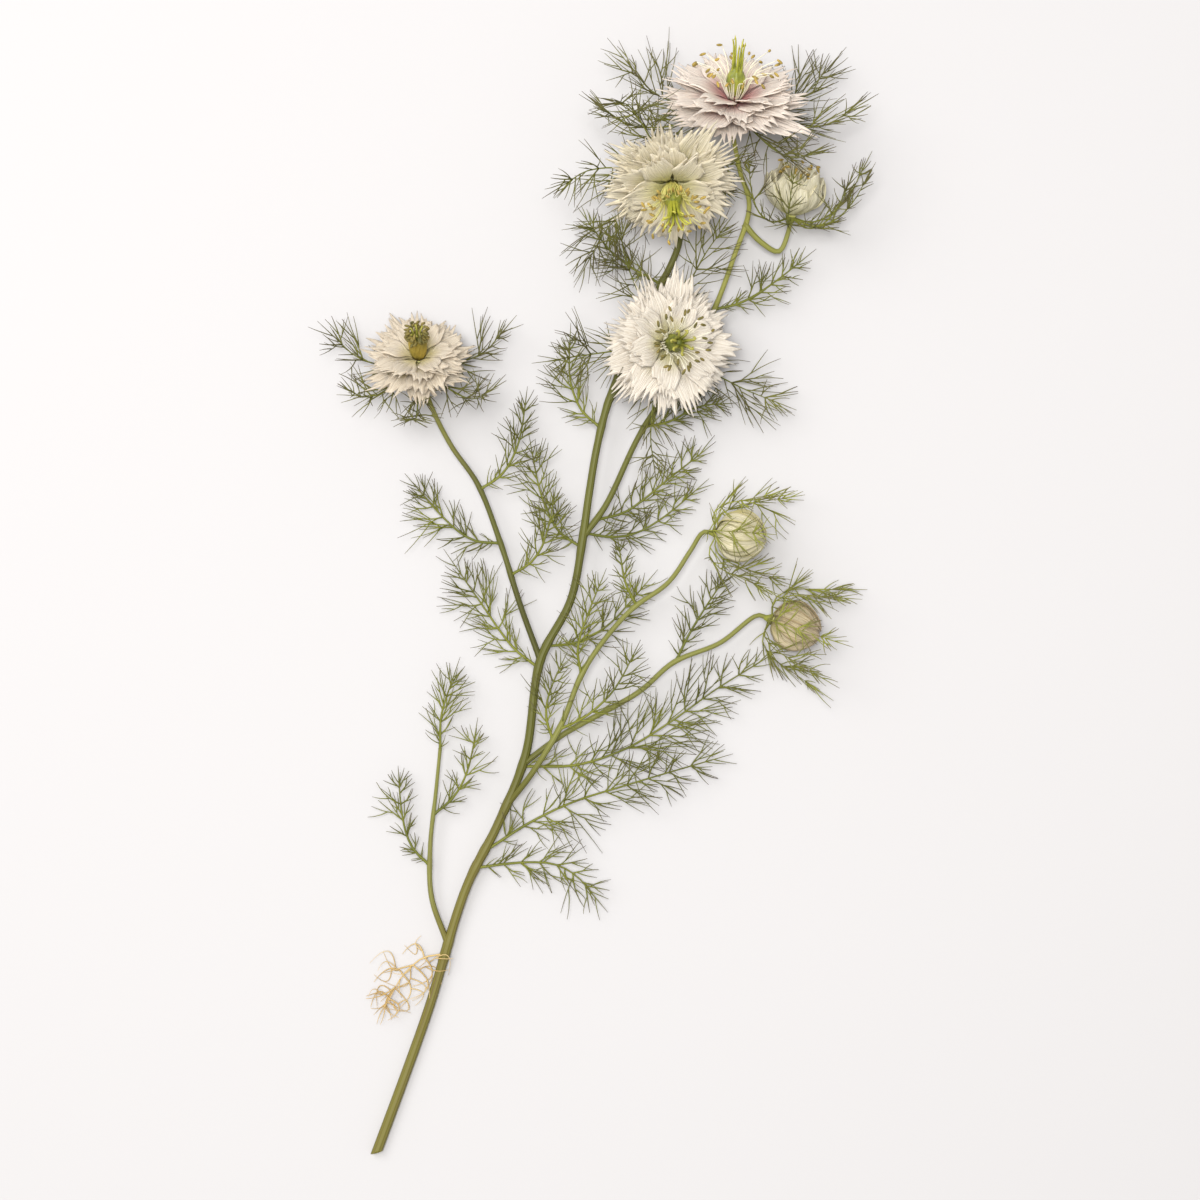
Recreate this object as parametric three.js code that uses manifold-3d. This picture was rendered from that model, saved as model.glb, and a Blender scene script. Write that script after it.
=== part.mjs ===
// Love-in-a-mist (Nigella damascena, the white double form): one cut, branched flowering stem,
// lying on a flat surface.
//
// Millimetres. +Z points up from the surface (z = 0), +Y runs along the stem from its cut end to
// the blooms, and the origin is under the middle of the whole stem.
//
// The stem and its stalks are tapering tubes, joined into one solid. Everything fine is one closed
// skin: a rib or a hub of a few facets, and each petal, thread, stamen and style is drawn out of a
// facet of what it grows from, so that nothing has to be cut or glued.

import * as THREE from "three";
import { mergeVertices } from "three/addons/utils/BufferGeometryUtils.js";
import Module from "manifold-3d";

const wasm = await Module();
wasm.setup();

// ---------------------------------------------------------------- driving dimensions

const SEAM = 0.3; // clearance between a piece and what carries it
const SURFACE_CLEARANCE = 0.6; // lowest that a thread's middle line comes to the surface
const SOFT_LANDING = 4; // below this height a drooping thread bends off along the surface
const LANDING_SLOPE = 0.35; // share of its fall that it keeps below that height

const STEM_RADIUS = { cut: 1.65, top: 0.95 };
const STALK_RADIUS = { fork: 0.95, head: 0.7 };
const CUT_SLANT = THREE.MathUtils.degToRad(35);
const STEM_SIDES = 8;
const STALK_SIDES = 6;
const PLACES_A_STEP = 20; // places on each step of a middle line, by which the fronds are seated
const ROOT_STEP = 0.1; // by which a frond's root is moved out until it is clear of the stem

const PETAL_LENGTH = 20; // of an outer petal of a full-sized bloom
const PETAL_WIDTH = 9.4;
const PETAL_THICKNESS = 0.7;
const PETALS_A_LAYER = 6;
const PETAL_LAYERS = 4;

const HUB_RADIUS = 1.9; // the top of the stalk, where the bracts grow
const HUB_HEIGHT = 1.2;
const BRACT_REACH = 33; // from the bloom's axis to the end of a bract's rib
const SHORT_BRACT = 0.66; // share of the others' reach
const SHORT_BRACT_SAG = 0.11; // how steeply it falls away from the petals over it
const RIB_HALF = { root: 0.42, tip: 0.24 }; // half the width of a rib
const THREAD_NODE = 1.1; // length of the stretch of rib that a pair of threads grows from

const STAMEN_REACH = 12;
const STAMEN_SIDES = 10; // facets of the disc that carries the stamens, two stamens each
const ANTHER_LENGTH = 2.2;
const OVARY = { radius: 2.5, height: 7 };
const STYLE_LENGTH = 8;
const BUD_RADIUS = 7.4;

// Where the heads sit: the seat is the top of the stalk, the axis is where the head faces, and the
// bracts are the directions of its ribs about the axis, in degrees from the side that looks away
// from the surface. A bract that a neighbour crowds is a short one. "Turn" winds a bud about its
// axis: the lower one lies on one of its crests.
const BLOOMS = [
  { name: "lead_bloom", seat: [19.2, 80, 14], axis: [0.3, -0.05, 0.95], size: 1.12,
    bracts: [20, 92, 164, 252, 308] },
  { name: "nodding_bloom", seat: [21.2, 131.2, 28.1], axis: [0.05, -0.75, 0.66], size: 1.1,
    bracts: [-124, -88, 25, 80, 135], short: [0, 1] },
  { name: "top_bloom", seat: [40.8, 150.8, 19.4], axis: [0.05, 0.78, 0.62], size: 1.2,
    bracts: [-115, -72, 40, 88, 128] },
  { name: "left_bloom", seat: [-57, 72.8, 10.4], axis: [-0.02, 0.62, 0.78], size: 0.87,
    bracts: [-105, -52, 0, 52, 105] },
];
const HALF_OPEN_BLOOM = {
  name: "half_open_bloom", seat: [59.5, 119.7, 7.5], axis: [0.15, 0.93, 0.33], size: 0.8,
  bracts: [-42, -4, 34, 74, 114],
};
const BUDS = [
  { name: "upper_bud", seat: [35.4, 21, 10.5], axis: [0.93, -0.1, 0.35], turn: 0,
    bracts: [-122, -61, 0, 61, 122] },
  { name: "lower_bud", seat: [52.8, -5.9, 6.1], axis: [0.95, -0.3, 0.05], turn: 22,
    bracts: [-104, -52, 0, 52, 104] },
];

// Courses of the stem and its stalks, from the root end. A stalk that ends in a head is led into it.
const MAIN_STEM = [
  [-72, -177, 1.65], [-62, -150, 1.7], [-54.6, -129, 1.9], [-42.8, -91, 3], [-32.8, -71, 4],
  [-24, -49, 5], [-19.3, -19, 6.5], [-9.7, 0, 7.5], [-5.9, 19.7, 8], [-4, 33, 8], [-1.5, 48, 7.5],
  [2, 62, 7], [9, 80, 6], [18, 98, 5], [24.5, 113, 5], [24.5, 127, 8], [22.5, 137.5, 15],
];
const LEAD_STALK = [[2, 62, 7], [8, 70.5, 7.5], [13.5, 76.5, 7.5]];
const LEFT_BRANCH = [
  [-19.3, -19, 6.5], [-25.6, -1.7, 6.5], [-31.9, 18, 6], [-39.1, 36.5, 5.5], [-47.5, 48.7, 4.8],
  [-53.3, 60, 4],
];
const RIGHT_SHOOT = [
  [-5.9, 19.7, 8], [1.3, 29.8, 7.5], [11.8, 51.7, 6.5], [24.5, 72, 5.5], [34.9, 90.3, 6],
  [41.6, 107.9, 7], [46.5, 124, 8], [43.5, 135, 9],
];
const HALF_OPEN_STALK = [[44.8, 118.5, 7.6], [50, 113, 7], [56, 110, 5.5]];
const UPPER_BUD_STALK = [
  [-30, -65, 4.3], [-21.5, -54, 8], [-12.6, -39, 9.5], [-6.3, -23.5, 9.5], [0.8, -12.6, 9.5],
  [10, -2.5, 9], [21, 5.5, 8.5], [28, 15.5, 7.5],
];
const LOWER_BUD_STALK = [
  [-25.6, -52.5, 5], [-12.6, -42.8, 5], [11.8, -29, 5.5], [22.7, -19.7, 6], [37.4, -13.5, 6.3],
];
const SIDE_SHOOT = [
  [-48.7, -109, 2.4], [-53.8, -94, 3.5], [-54.2, -78, 4], [-52.5, -62, 4.5], [-51, -47, 5],
];

const COLOURS = {
  stem: "#7b8440", petals: "#f3efe1", petalsYoung: "#dde3c4", stamens: "#cfc878", pistil: "#a9b94b",
  mist: "#87934f", frond: "#7c8b45", dry: "#cdb88a", bud: "#cfd3a6",
};

// Fronds: how many pairs of threads each rib carries, the reach of the longest, and the rib's course
// from the stem's middle line outwards. The tuft at the end of the side shoot goes straight on.
const FRONDS = [
  { name: "frond_low_right", pairs: 9, reach: 13,
    course: [[-36.8, -79.4, 3.4], [-15.5, -66.5, 4.5], [6, -59, 6], [35, -50.5, 5]] },
  { name: "frond_low_drooping", pairs: 6, reach: 10,
    course: [[-39.5, -85.5, 3], [-22, -83, 2.2], [-11, -85, 2], [-3, -93, 1.6]] },
  { name: "frond_right_long", pairs: 10, reach: 14,
    course: [[-25.6, -52.5, 5], [-12, -53, 2], [12, -45, 2.6], [32, -31, 3.5], [50, -19.7, 3]] },
  { name: "frond_stalk_left", pairs: 5, reach: 8,
    course: [[-15, -44, 9], [-17.5, -36, 11], [-16, -28, 12.5], [-12.5, -20, 12]] },
  { name: "frond_stalk_right", pairs: 6, reach: 9,
    course: [[-13.5, -41, 9.5], [-5, -36.5, 12], [4, -28, 13.5], [10, -17, 13]] },
  { name: "frond_stalk_upper", pairs: 6, reach: 8,
    course: [[-6.3, -23.5, 9.5], [-7.5, -15, 12.5], [-4.5, -5, 14], [-0.5, 5, 13.5]] },
  { name: "tuft_upper_bud_stalk", pairs: 4, reach: 6,
    course: [[10.9, -1.8, 9], [7.5, 5.5, 10.5], [5.5, 16.5, 11.5]] },
  { name: "frond_lower_bud_stalk", pairs: 6, reach: 9,
    course: [[23.5, -19.5, 6], [27.5, -11, 6.5], [33, -2, 6], [38, 5.5, 5]] },
  { name: "frond_fork_left", pairs: 7, reach: 11,
    course: [[-20, -22, 6.3], [-28, -15, 4.5], [-36, -4, 5.5], [-45, 9, 5.5]] },
  { name: "frond_fork_right", pairs: 6, reach: 9,
    course: [[-17, -14, 6.8], [-8, -13.5, 4], [2, -8, 3.6], [13, 4, 3.4]] },
  { name: "frond_left_inner", pairs: 6, reach: 9,
    course: [[-28.6, 8, 6.2], [-21, 13, 8], [-17, 22, 9.5], [-15, 32, 9.5]] },
  { name: "frond_left_outer", pairs: 6, reach: 10,
    course: [[-32, 18, 6], [-41, 19, 4.5], [-50, 26, 4], [-58, 35, 3.6]] },
  { name: "frond_left_high", pairs: 6, reach: 9,
    course: [[-38.5, 35, 5.5], [-31, 40, 7], [-26, 50, 8], [-24, 62, 8]] },
  { name: "frond_fork_upper_left", pairs: 7, reach: 9,
    course: [[-6.5, 16, 7.9], [-13, 21, 6], [-19, 33, 5.5], [-22, 47, 5]] },
  { name: "frond_fork_upper_right", pairs: 8, reach: 9,
    course: [[-2, 25, 7.8], [8, 28, 5.6], [19, 36.5, 5], [31, 46, 4]] },
  { name: "frond_fan_right", pairs: 6, reach: 9,
    course: [[-5.5, 21, 8], [7, 20, 4.6], [18, 25, 4], [29, 34, 3.4]] },
  { name: "frond_shoot_low", pairs: 6, reach: 8,
    course: [[13.5, 54.5, 6.4], [22, 56.5, 5], [30, 61, 4.4], [38, 62, 3.6]] },
  { name: "frond_stem_high", pairs: 6, reach: 9,
    course: [[0, 54, 7.2], [-6.5, 60, 7], [-10, 70, 7.5], [-10, 81, 7]] },
  { name: "frond_shoot_high", pairs: 6, reach: 9,
    course: [[35.5, 91.5, 6], [43.5, 93.5, 7], [53, 99, 8], [62, 106, 8]] },
  { name: "frond_top_left", pairs: 6, reach: 9,
    course: [[19, 100, 5], [11, 104, 5], [3, 110, 5.5], [-4, 119, 6]] },
  { name: "frond_side_shoot_low", pairs: 5, reach: 8,
    course: [[-54.2, -84, 3.8], [-60, -78, 4.5], [-63, -68, 5], [-64, -57, 5]] },
  { name: "frond_side_shoot_mid", pairs: 5, reach: 8,
    course: [[-53.2, -68, 4.3], [-46.5, -62, 5.5], [-42, -53, 6.5], [-40, -43, 6.5]] },
  { name: "tuft_side_shoot", pairs: 5, reach: 9, onEnd: true,
    course: [[-51, -47, 5], [-51, -43, 5], [-50.5, -36, 6], [-47, -25, 6.5]] },
  { name: "dry_threads", pairs: 5, reach: 9, colour: COLOURS.dry,
    course: [[-49.5, -112, 2.2], [-56, -113, 1.8], [-63, -119, 1.6], [-68, -128, 1.4]] },
];

// ---------------------------------------------------------------- small helpers

const UP = new THREE.Vector3(0, 0, 1);
const radians = THREE.MathUtils.degToRad;
const mix = THREE.MathUtils.lerp;
const vectors = (list) => list.map((place) => new THREE.Vector3(...place));

function middleOf(places) {
  return places.reduce((sum, place) => sum.add(place), new THREE.Vector3()).divideScalar(places.length);
}

// A seeded source of numbers between two limits.
function drawsFrom(seed) {
  let state = seed;
  return (low, high) => {
    state = (Math.imul(state, 1664525) + 1013904223) >>> 0;
    return mix(low, high, state / 2 ** 32);
  };
}

// Keeps a point above the surface: what would fall further bends off along it instead.
function landed(point) {
  const height = point.z < SOFT_LANDING ? mix(SOFT_LANDING, point.z, LANDING_SLOPE) : point.z;
  return point.clone().setZ(Math.max(height, SURFACE_CLEARANCE));
}

// ---------------------------------------------------------------- skins

// A closed skin that grows from loop to loop. A loop runs anticlockwise as seen by what grows
// towards the viewer, so that every facet faces out.
class Skin {
  constructor() {
    this.points = [];
    this.triangles = [];
  }

  loop(places) {
    const first = this.points.length;
    this.points.push(...places);
    return places.map((_, i) => first + i);
  }

  middle(loop) {
    return middleOf(loop.map((i) => this.points[i]));
  }

  // The loop's own outline, made "scale" times as large about a new middle.
  moved(loop, middle, scale) {
    const old = this.middle(loop);
    return loop.map((i) => this.points[i].clone().sub(old).multiplyScalar(scale).add(middle));
  }

  flat(loop) {
    for (let i = 1; i + 1 < loop.length; i++) this.triangles.push(loop[0], loop[i], loop[i + 1]);
  }

  foot(loop) {
    this.flat([...loop].reverse());
  }

  peak(loop, tip) {
    const [apex] = this.loop([tip]);
    loop.forEach((corner, i) => this.triangles.push(corner, loop[(i + 1) % loop.length], apex));
  }

  // The loop started from the corner that lies nearest to the first of the given places.
  startedAt(loop, places) {
    const middle = this.middle(loop);
    const placesMiddle = middleOf(places);
    const misfit = (shift) =>
      places.reduce((sum, place, i) => {
        const corner = this.points[loop[(i + shift) % loop.length]].clone().sub(middle).normalize();
        return sum + corner.distanceTo(place.clone().sub(placesMiddle).normalize());
      }, 0);
    const shifts = loop.map((_, i) => i).sort((a, b) => misfit(a) - misfit(b));
    return loop.map((_, i) => loop[(i + shifts[0]) % loop.length]);
  }

  // Walls from a loop to new places. A facet that is named in "drawnOut" is handed over to grow on.
  wall(loop, places, drawnOut = {}) {
    const from = this.startedAt(loop, places);
    const to = this.loop(places);
    from.forEach((_, i) => {
      const next = (i + 1) % from.length;
      const facet = [from[i], from[next], to[next], to[i]];
      if (drawnOut[i]) drawnOut[i](facet);
      else this.flat(facet);
    });
    return to;
  }

  // A four-sided loop parts into two threads.
  fork(loop, tips) {
    const spread = tips[0].clone().sub(tips[1]);
    const lie = (i) => this.points[loop[i + 1]].clone().sub(this.points[loop[(i + 3) % 4]]).dot(spread);
    const start = Math.abs(lie(0)) > Math.abs(lie(1)) ? 0 : 1;
    const [a, b, c, d] = [0, 1, 2, 3].map((i) => loop[(start + i) % 4]);
    const [near, far] = lie(start) > 0 ? tips : [tips[1], tips[0]];
    this.peak([a, b, c], near);
    this.peak([a, c, d], far);
  }

  geometry() {
    const flatList = this.points.flatMap((p) => [p.x, p.y, p.z]);
    const geometry = new THREE.BufferGeometry();
    geometry.setAttribute("position", new THREE.Float32BufferAttribute(flatList, 3));
    geometry.setIndex(this.triangles);
    return geometry;
  }
}

function meshOf(name, geometry, colour, roughness = 0.6) {
  const faceted = geometry.index ? geometry.toNonIndexed() : geometry;
  faceted.computeVertexNormals();
  const material = new THREE.MeshStandardMaterial({ color: colour, roughness, metalness: 0 });
  const mesh = new THREE.Mesh(faceted, material);
  mesh.name = name;
  return mesh;
}

// ---------------------------------------------------------------- stem

const wasmSolid = (geometry) => {
  const bare = geometry.clone();
  bare.deleteAttribute("normal");
  bare.deleteAttribute("uv");
  const merged = mergeVertices(bare, 1e-3);
  return new wasm.Manifold(
    new wasm.Mesh({
      numProp: 3,
      vertProperties: merged.attributes.position.array,
      triVerts: new Uint32Array(merged.index.array),
    }),
  );
};

function geometryOf(solid) {
  const { vertProperties, triVerts, numProp } = solid.getMesh();
  const geometry = new THREE.BufferGeometry();
  const all = new THREE.InterleavedBuffer(vertProperties, numProp);
  geometry.setAttribute("position", new THREE.InterleavedBufferAttribute(all, 3, 0));
  geometry.setIndex(new THREE.BufferAttribute(triVerts, 1));
  return geometry;
}

// The last stretch of a stalk, straight along the axis of its head.
function ledInto({ seat, axis }) {
  const [end] = vectors([seat]);
  const facing = new THREE.Vector3(...axis).normalize();
  return [5.5, 2.8, SEAM].map((gap) => end.clone().addScaledVector(facing, -gap));
}

// A tube of the stem along its points, with its radius at the two ends, and with its middle line: the
// straight stretches between its steps, each as a row of places with the inner radius there.
function tube(course, heads, { from, to, sides, steps }) {
  const curve = new THREE.CatmullRomCurve3([...vectors(course), ...heads.flatMap(ledInto)]);
  const centres = curve.getSpacedPoints(steps);
  const middleLine = Array.from({ length: steps * PLACES_A_STEP }, (_, i) => {
    const step = Math.floor(i / PLACES_A_STEP);
    const centre = centres[step].clone().lerp(centres[step + 1], (i % PLACES_A_STEP) / PLACES_A_STEP);
    const radius = mix(from, to, i / PLACES_A_STEP / steps) * Math.cos(Math.PI / sides);
    return { centre, radius };
  });
  return { curve, from, to, sides, steps, middleLine };
}
const stalk = (course, heads, steps) =>
  tube(course, heads, { from: STALK_RADIUS.fork, to: STALK_RADIUS.head, sides: STALK_SIDES, steps });
const [LEAD, NODDING, TOP, LEFT] = BLOOMS;
const [UPPER, LOWER] = BUDS;
const TUBES = [
  tube(MAIN_STEM, [NODDING], { from: STEM_RADIUS.cut, to: STEM_RADIUS.top, sides: STEM_SIDES, steps: 27 }),
  stalk(LEAD_STALK, [LEAD], 6),
  stalk(LEFT_BRANCH, [LEFT], 11),
  stalk(RIGHT_SHOOT, [TOP], 15),
  stalk(HALF_OPEN_STALK, [HALF_OPEN_BLOOM], 7),
  stalk(UPPER_BUD_STALK, [UPPER], 13),
  stalk(LOWER_BUD_STALK, [LOWER], 10),
  stalk(SIDE_SHOOT, [], 7),
];

// A tube of a few sides whose radius runs evenly from one end to the other.
function taperedTube({ curve, from, to, sides, steps }) {
  const corners = Array.from({ length: sides }, (_, i) => {
    const angle = (2 * Math.PI * i) / sides;
    return new THREE.Vector2(Math.cos(angle), Math.sin(angle));
  });
  const geometry = new THREE.ExtrudeGeometry(new THREE.Shape(corners), {
    steps, extrudePath: curve, bevelEnabled: false,
  });
  const centres = curve.getSpacedPoints(steps);
  const places = geometry.attributes.position;
  for (let i = 0; i < places.count; i++) {
    const place = new THREE.Vector3().fromBufferAttribute(places, i);
    const gaps = centres.map((centre) => centre.distanceTo(place));
    const nearest = gaps.indexOf(Math.min(...gaps));
    const centre = centres[nearest];
    place.sub(centre).multiplyScalar(mix(from, to, nearest / steps)).add(centre);
    places.setXYZ(i, place.x, place.y, place.z);
  }
  return geometry;
}

// The block that a knife's slanted cut takes off the end of the stem.
function slantedCut() {
  const [first, second] = vectors(MAIN_STEM);
  const heading = second.sub(first).setZ(0).normalize();
  const block = new THREE.BoxGeometry(12, 12, 12).translate(0, -6, 0);
  block.rotateZ(Math.atan2(-heading.x, heading.y) + CUT_SLANT);
  block.translate(first.x + heading.x * 2, first.y + heading.y * 2, first.z);
  return wasmSolid(block);
}

function stem() {
  const [first, ...others] = TUBES.map((each) => wasmSolid(taperedTube(each)));
  const whole = others.reduce((joined, other) => joined.add(other), first);
  return meshOf("stem", geometryOf(whole.subtract(slantedCut())), COLOURS.stem);
}

// The place on the stem's middle lines that a point is nearest to, and its distance from the
// stem's side there.
function nearestOnStem(point) {
  const places = TUBES.flatMap(({ middleLine }) =>
    middleLine.map(({ centre, radius }) => ({ centre, gap: centre.distanceTo(point) - radius })),
  );
  return places.reduce((best, place) => (place.gap < best.gap ? place : best));
}

// ---------------------------------------------------------------- threads and fronds

const THREAD_LEAN = radians(39); // between a rib and its threads
const LEAN_SPREAD = radians(9);
const FORK_OPENING = radians(17); // half the angle between the two ends of a forked thread
const FORK_AT = 0.42; // share of a forked thread before it forks
const FORK_SCALE = 0.52; // of the thread's section where it forks
const FORK_ARMS = [0.58, 0.46]; // lengths of its two ends, as shares of the thread
const TIP_FORK = 0.09; // half the opening of the rib's own end, as a share of the threads' reach
const THREAD_LIFT = [-0.12, 0.34]; // pairs of threads dip and rise by turns
const SWELL = { root: 0.2, tip: 0.86 }; // the part of a half wave that the threads' lengths follow
const BARE_ROOT = { frond: 0.16, bract: 0.3 }; // share of a rib below its first threads
const LAST_PAIR_AT = 0.9;

// The rib's own directions at a share of its length: along it, over it and to its right.
function ribFrame(curve, share, over) {
  const along = curve.getTangentAt(share);
  const top = over.clone().addScaledVector(along, -over.dot(along)).normalize();
  return { at: curve.getPointAt(share), along, top, right: along.clone().cross(top) };
}

function squareOn({ at, top, right }, half) {
  return [[1, 1], [1, -1], [-1, -1], [-1, 1]].map(([x, y]) => {
    return at.clone().addScaledVector(right, x * half).addScaledVector(top, y * half);
  });
}

// One thread out of a facet: plain, or forked about the middle of its length.
function drawThread(skin, facet, { heading, length, hinge, forked, landing }) {
  const root = skin.middle(facet);
  if (!forked) {
    skin.peak(facet, landing(root.addScaledVector(heading, length)));
    return;
  }
  const waist = landing(root.clone().addScaledVector(heading, length * FORK_AT));
  const loop = skin.wall(facet, skin.moved(facet, waist, FORK_SCALE));
  const tips = [FORK_OPENING, -FORK_OPENING].map((angle, i) => {
    const direction = heading.clone().applyAxisAngle(hinge, angle);
    return landing(waist.clone().addScaledVector(direction, length * FORK_ARMS[i]));
  });
  skin.fork(loop, tips);
}

// A rib along a curve with pairs of threads on its sides, longest a little below the middle, and
// a fork for its end. "From" is the share of the rib that is bare at its root.
function growRib(skin, base, { curve, over, pairs, reach, draw, landing, from, forkedAt }) {
  const nodeShare = THREAD_NODE / curve.getLength();
  let end = base;
  for (let i = 0; i < pairs; i++) {
    const share = mix(from, LAST_PAIR_AT, i / (pairs - 1));
    const half = mix(RIB_HALF.root, RIB_HALF.tip, share);
    const swell = Math.sin(Math.PI * mix(SWELL.root, SWELL.tip, share));
    const near = ribFrame(curve, share, over);
    const far = ribFrame(curve, share + nodeShare, over);
    const thread = (side) => (facet) => {
      const lean = THREAD_LEAN + draw(-LEAN_SPREAD, LEAN_SPREAD);
      const heading = far.along.clone().multiplyScalar(Math.cos(lean));
      heading.addScaledVector(far.right, side * Math.sin(lean));
      heading.addScaledVector(far.top, THREAD_LIFT[i % 2]).normalize();
      const length = reach * swell * draw(0.85, 1.1);
      drawThread(skin, facet, { heading, length, hinge: far.top, forked: forkedAt(i), landing });
    };
    const start = skin.wall(end, squareOn(near, half));
    end = skin.wall(start, squareOn(far, half), { 0: thread(1), 2: thread(-1) });
  }
  const last = ribFrame(curve, 1, over);
  const tips = [1, -1].map((side) => last.at.clone().addScaledVector(last.right, side * reach * TIP_FORK));
  skin.fork(end, tips.map(landing));
}

const FROND_SEED = 101;

// A frond starts where its rib comes clear of the stem's side, or straight on from a shoot's end.
function frond({ name, course, pairs, reach, onEnd = false, colour = COLOURS.frond }, index) {
  const [root, ...rest] = vectors(course);
  const whole = new THREE.CatmullRomCurve3([onEnd ? root : nearestOnStem(root).centre, ...rest]);
  const length = whole.getLength();
  let first = SEAM / length;
  const clear = () => nearestOnStem(landed(whole.getPointAt(first))).gap > SEAM + RIB_HALF.root;
  while (!onEnd && !clear()) first += ROOT_STEP / length;
  const shares = [0, 0.2, 0.4, 0.6, 0.8, 1].map((share) => mix(first, 1, share));
  const curve = new THREE.CatmullRomCurve3(shares.map((share) => landed(whole.getPointAt(share))));
  const skin = new Skin();
  const base = skin.loop(squareOn(ribFrame(curve, 0, UP), RIB_HALF.root));
  skin.foot(base);
  growRib(skin, base, {
    curve, over: UP, pairs, reach, draw: drawsFrom(FROND_SEED + index), landing: landed,
    from: BARE_ROOT.frond, forkedAt: () => true,
  });
  return meshOf(name, skin.geometry(), colour);
}

// ---------------------------------------------------------------- heads

// A head's own directions: its Z is its axis, and its X looks away from the surface.
function headGroup({ name, seat, axis }) {
  const facing = new THREE.Vector3(...axis).normalize();
  const away = UP.clone().addScaledVector(facing, -UP.dot(facing)).normalize();
  const group = new THREE.Group();
  group.name = name;
  const sideways = facing.clone().cross(away);
  group.quaternion.setFromRotationMatrix(new THREE.Matrix4().makeBasis(away, sideways, facing));
  group.position.set(...seat);
  group.updateMatrix();
  return group;
}

// A place in a head, by its azimuth, its distance from the axis and its height.
function around(azimuth, radius, height) {
  return new THREE.Vector3(radius * Math.cos(azimuth), radius * Math.sin(azimuth), height);
}

// A polygon about the axis, whose walls face out at turn, turn + step and so on.
function polygon(sides, radius, height, turn = 0) {
  const step = (2 * Math.PI) / sides;
  return Array.from({ length: sides }, (_, i) => around(turn + step * (i - 0.5), radius, height));
}

// Bracts: thread-cut leaves around the top of the stalk. The course is a rib's distance from the
// axis and its height, from the hub outwards.
function bracts(group, { directions, short = [], seed, course, pairs, reach }) {
  const skin = new Skin();
  const draw = drawsFrom(seed);
  const landing = (point) => {
    const inWorld = landed(point.clone().applyMatrix4(group.matrix));
    return inWorld.applyMatrix4(group.matrix.clone().invert());
  };
  const step = (2 * Math.PI) / directions.length;
  const turns = directions.map((direction, i) => radians(direction) - step * i);
  const spin = turns.reduce((sum, turn) => sum + turn, 0) / directions.length;
  const rib = (direction, i) => (facet) => {
    const azimuth = radians(direction) + draw(-0.06, 0.06);
    const crowded = short.includes(i);
    const share = crowded ? SHORT_BRACT : 1;
    const stretch = draw(0.88, 1.08) * share;
    const places = course.map(([radius, height]) => {
      const sagged = crowded ? SHORT_BRACT_SAG * (HUB_RADIUS - radius) : height;
      return landing(around(azimuth, radius * stretch, sagged));
    });
    growRib(skin, facet, {
      curve: new THREE.CatmullRomCurve3(places), over: UP, pairs, draw, landing,
      from: BARE_ROOT.bract, reach: reach * share, forkedAt: (pair) => pair === 1,
    });
  };
  const low = skin.loop(polygon(directions.length, HUB_RADIUS, 0, spin));
  skin.foot(low);
  const ribs = Object.fromEntries(directions.map((direction, i) => [i, rib(direction, i)]));
  skin.flat(skin.wall(low, polygon(directions.length, HUB_RADIUS, HUB_HEIGHT, spin), ribs));
  return meshOf(group.name + "_bracts", skin.geometry(), COLOURS.mist);
}

// A petal's outline: rows of places across it, the notches and the teeth of its tip. Each place is a
// share of the petal's length, and shares of its width.
const PETAL_ROWS = [[0.36, [-0.29, 0, 0.29]], [0.68, [-0.5, 0, 0.5]]];
const PETAL_NOTCHES = [[0.8, -0.21], [0.8, 0.21]];
const PETAL_TEETH = [[0.93, -0.44], [1, 0], [0.93, 0.44]];

// The blade's places by number: 0 and 1 at its root, 2 to 7 the rows, and 8 to 12 its tip.
const PETAL_COVER = [
  [0, 1, 3], [0, 3, 2], [1, 4, 3], [2, 3, 6], [2, 6, 5], [3, 4, 7], [3, 7, 6],
  [5, 6, 9], [5, 9, 8], [6, 10, 9], [6, 11, 10], [6, 7, 11], [7, 12, 11],
];
const PETAL_EDGE = [1, 4, 7, 12, 11, 10, 9, 8, 5, 2, 0];

// Where a petal's blade lies at a share of its length, so far across: it leaves its root at the angle
// "rise", bends by "curl" on its way, and is cupped and twisted across.
function bladePlace({ azimuth, root, length, width, rise, curl, cup, twist }, along, across) {
  const steep = rise + curl * along;
  const lift = (Math.cos(rise) - Math.cos(steep)) / curl;
  const out = (Math.sin(steep) - Math.sin(rise)) / curl;
  const bulge = cup * (across / width) ** 2 * 4 + twist * across;
  const radius = root.radius + length * out - Math.sin(steep) * bulge;
  const middle = around(azimuth, radius, root.height + length * lift + Math.cos(steep) * bulge);
  middle.addScaledVector(new THREE.Vector3(Math.sin(azimuth), -Math.cos(azimuth), 0), across);
  return { middle, normal: around(azimuth, -Math.sin(steep), Math.cos(steep)) };
}

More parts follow.
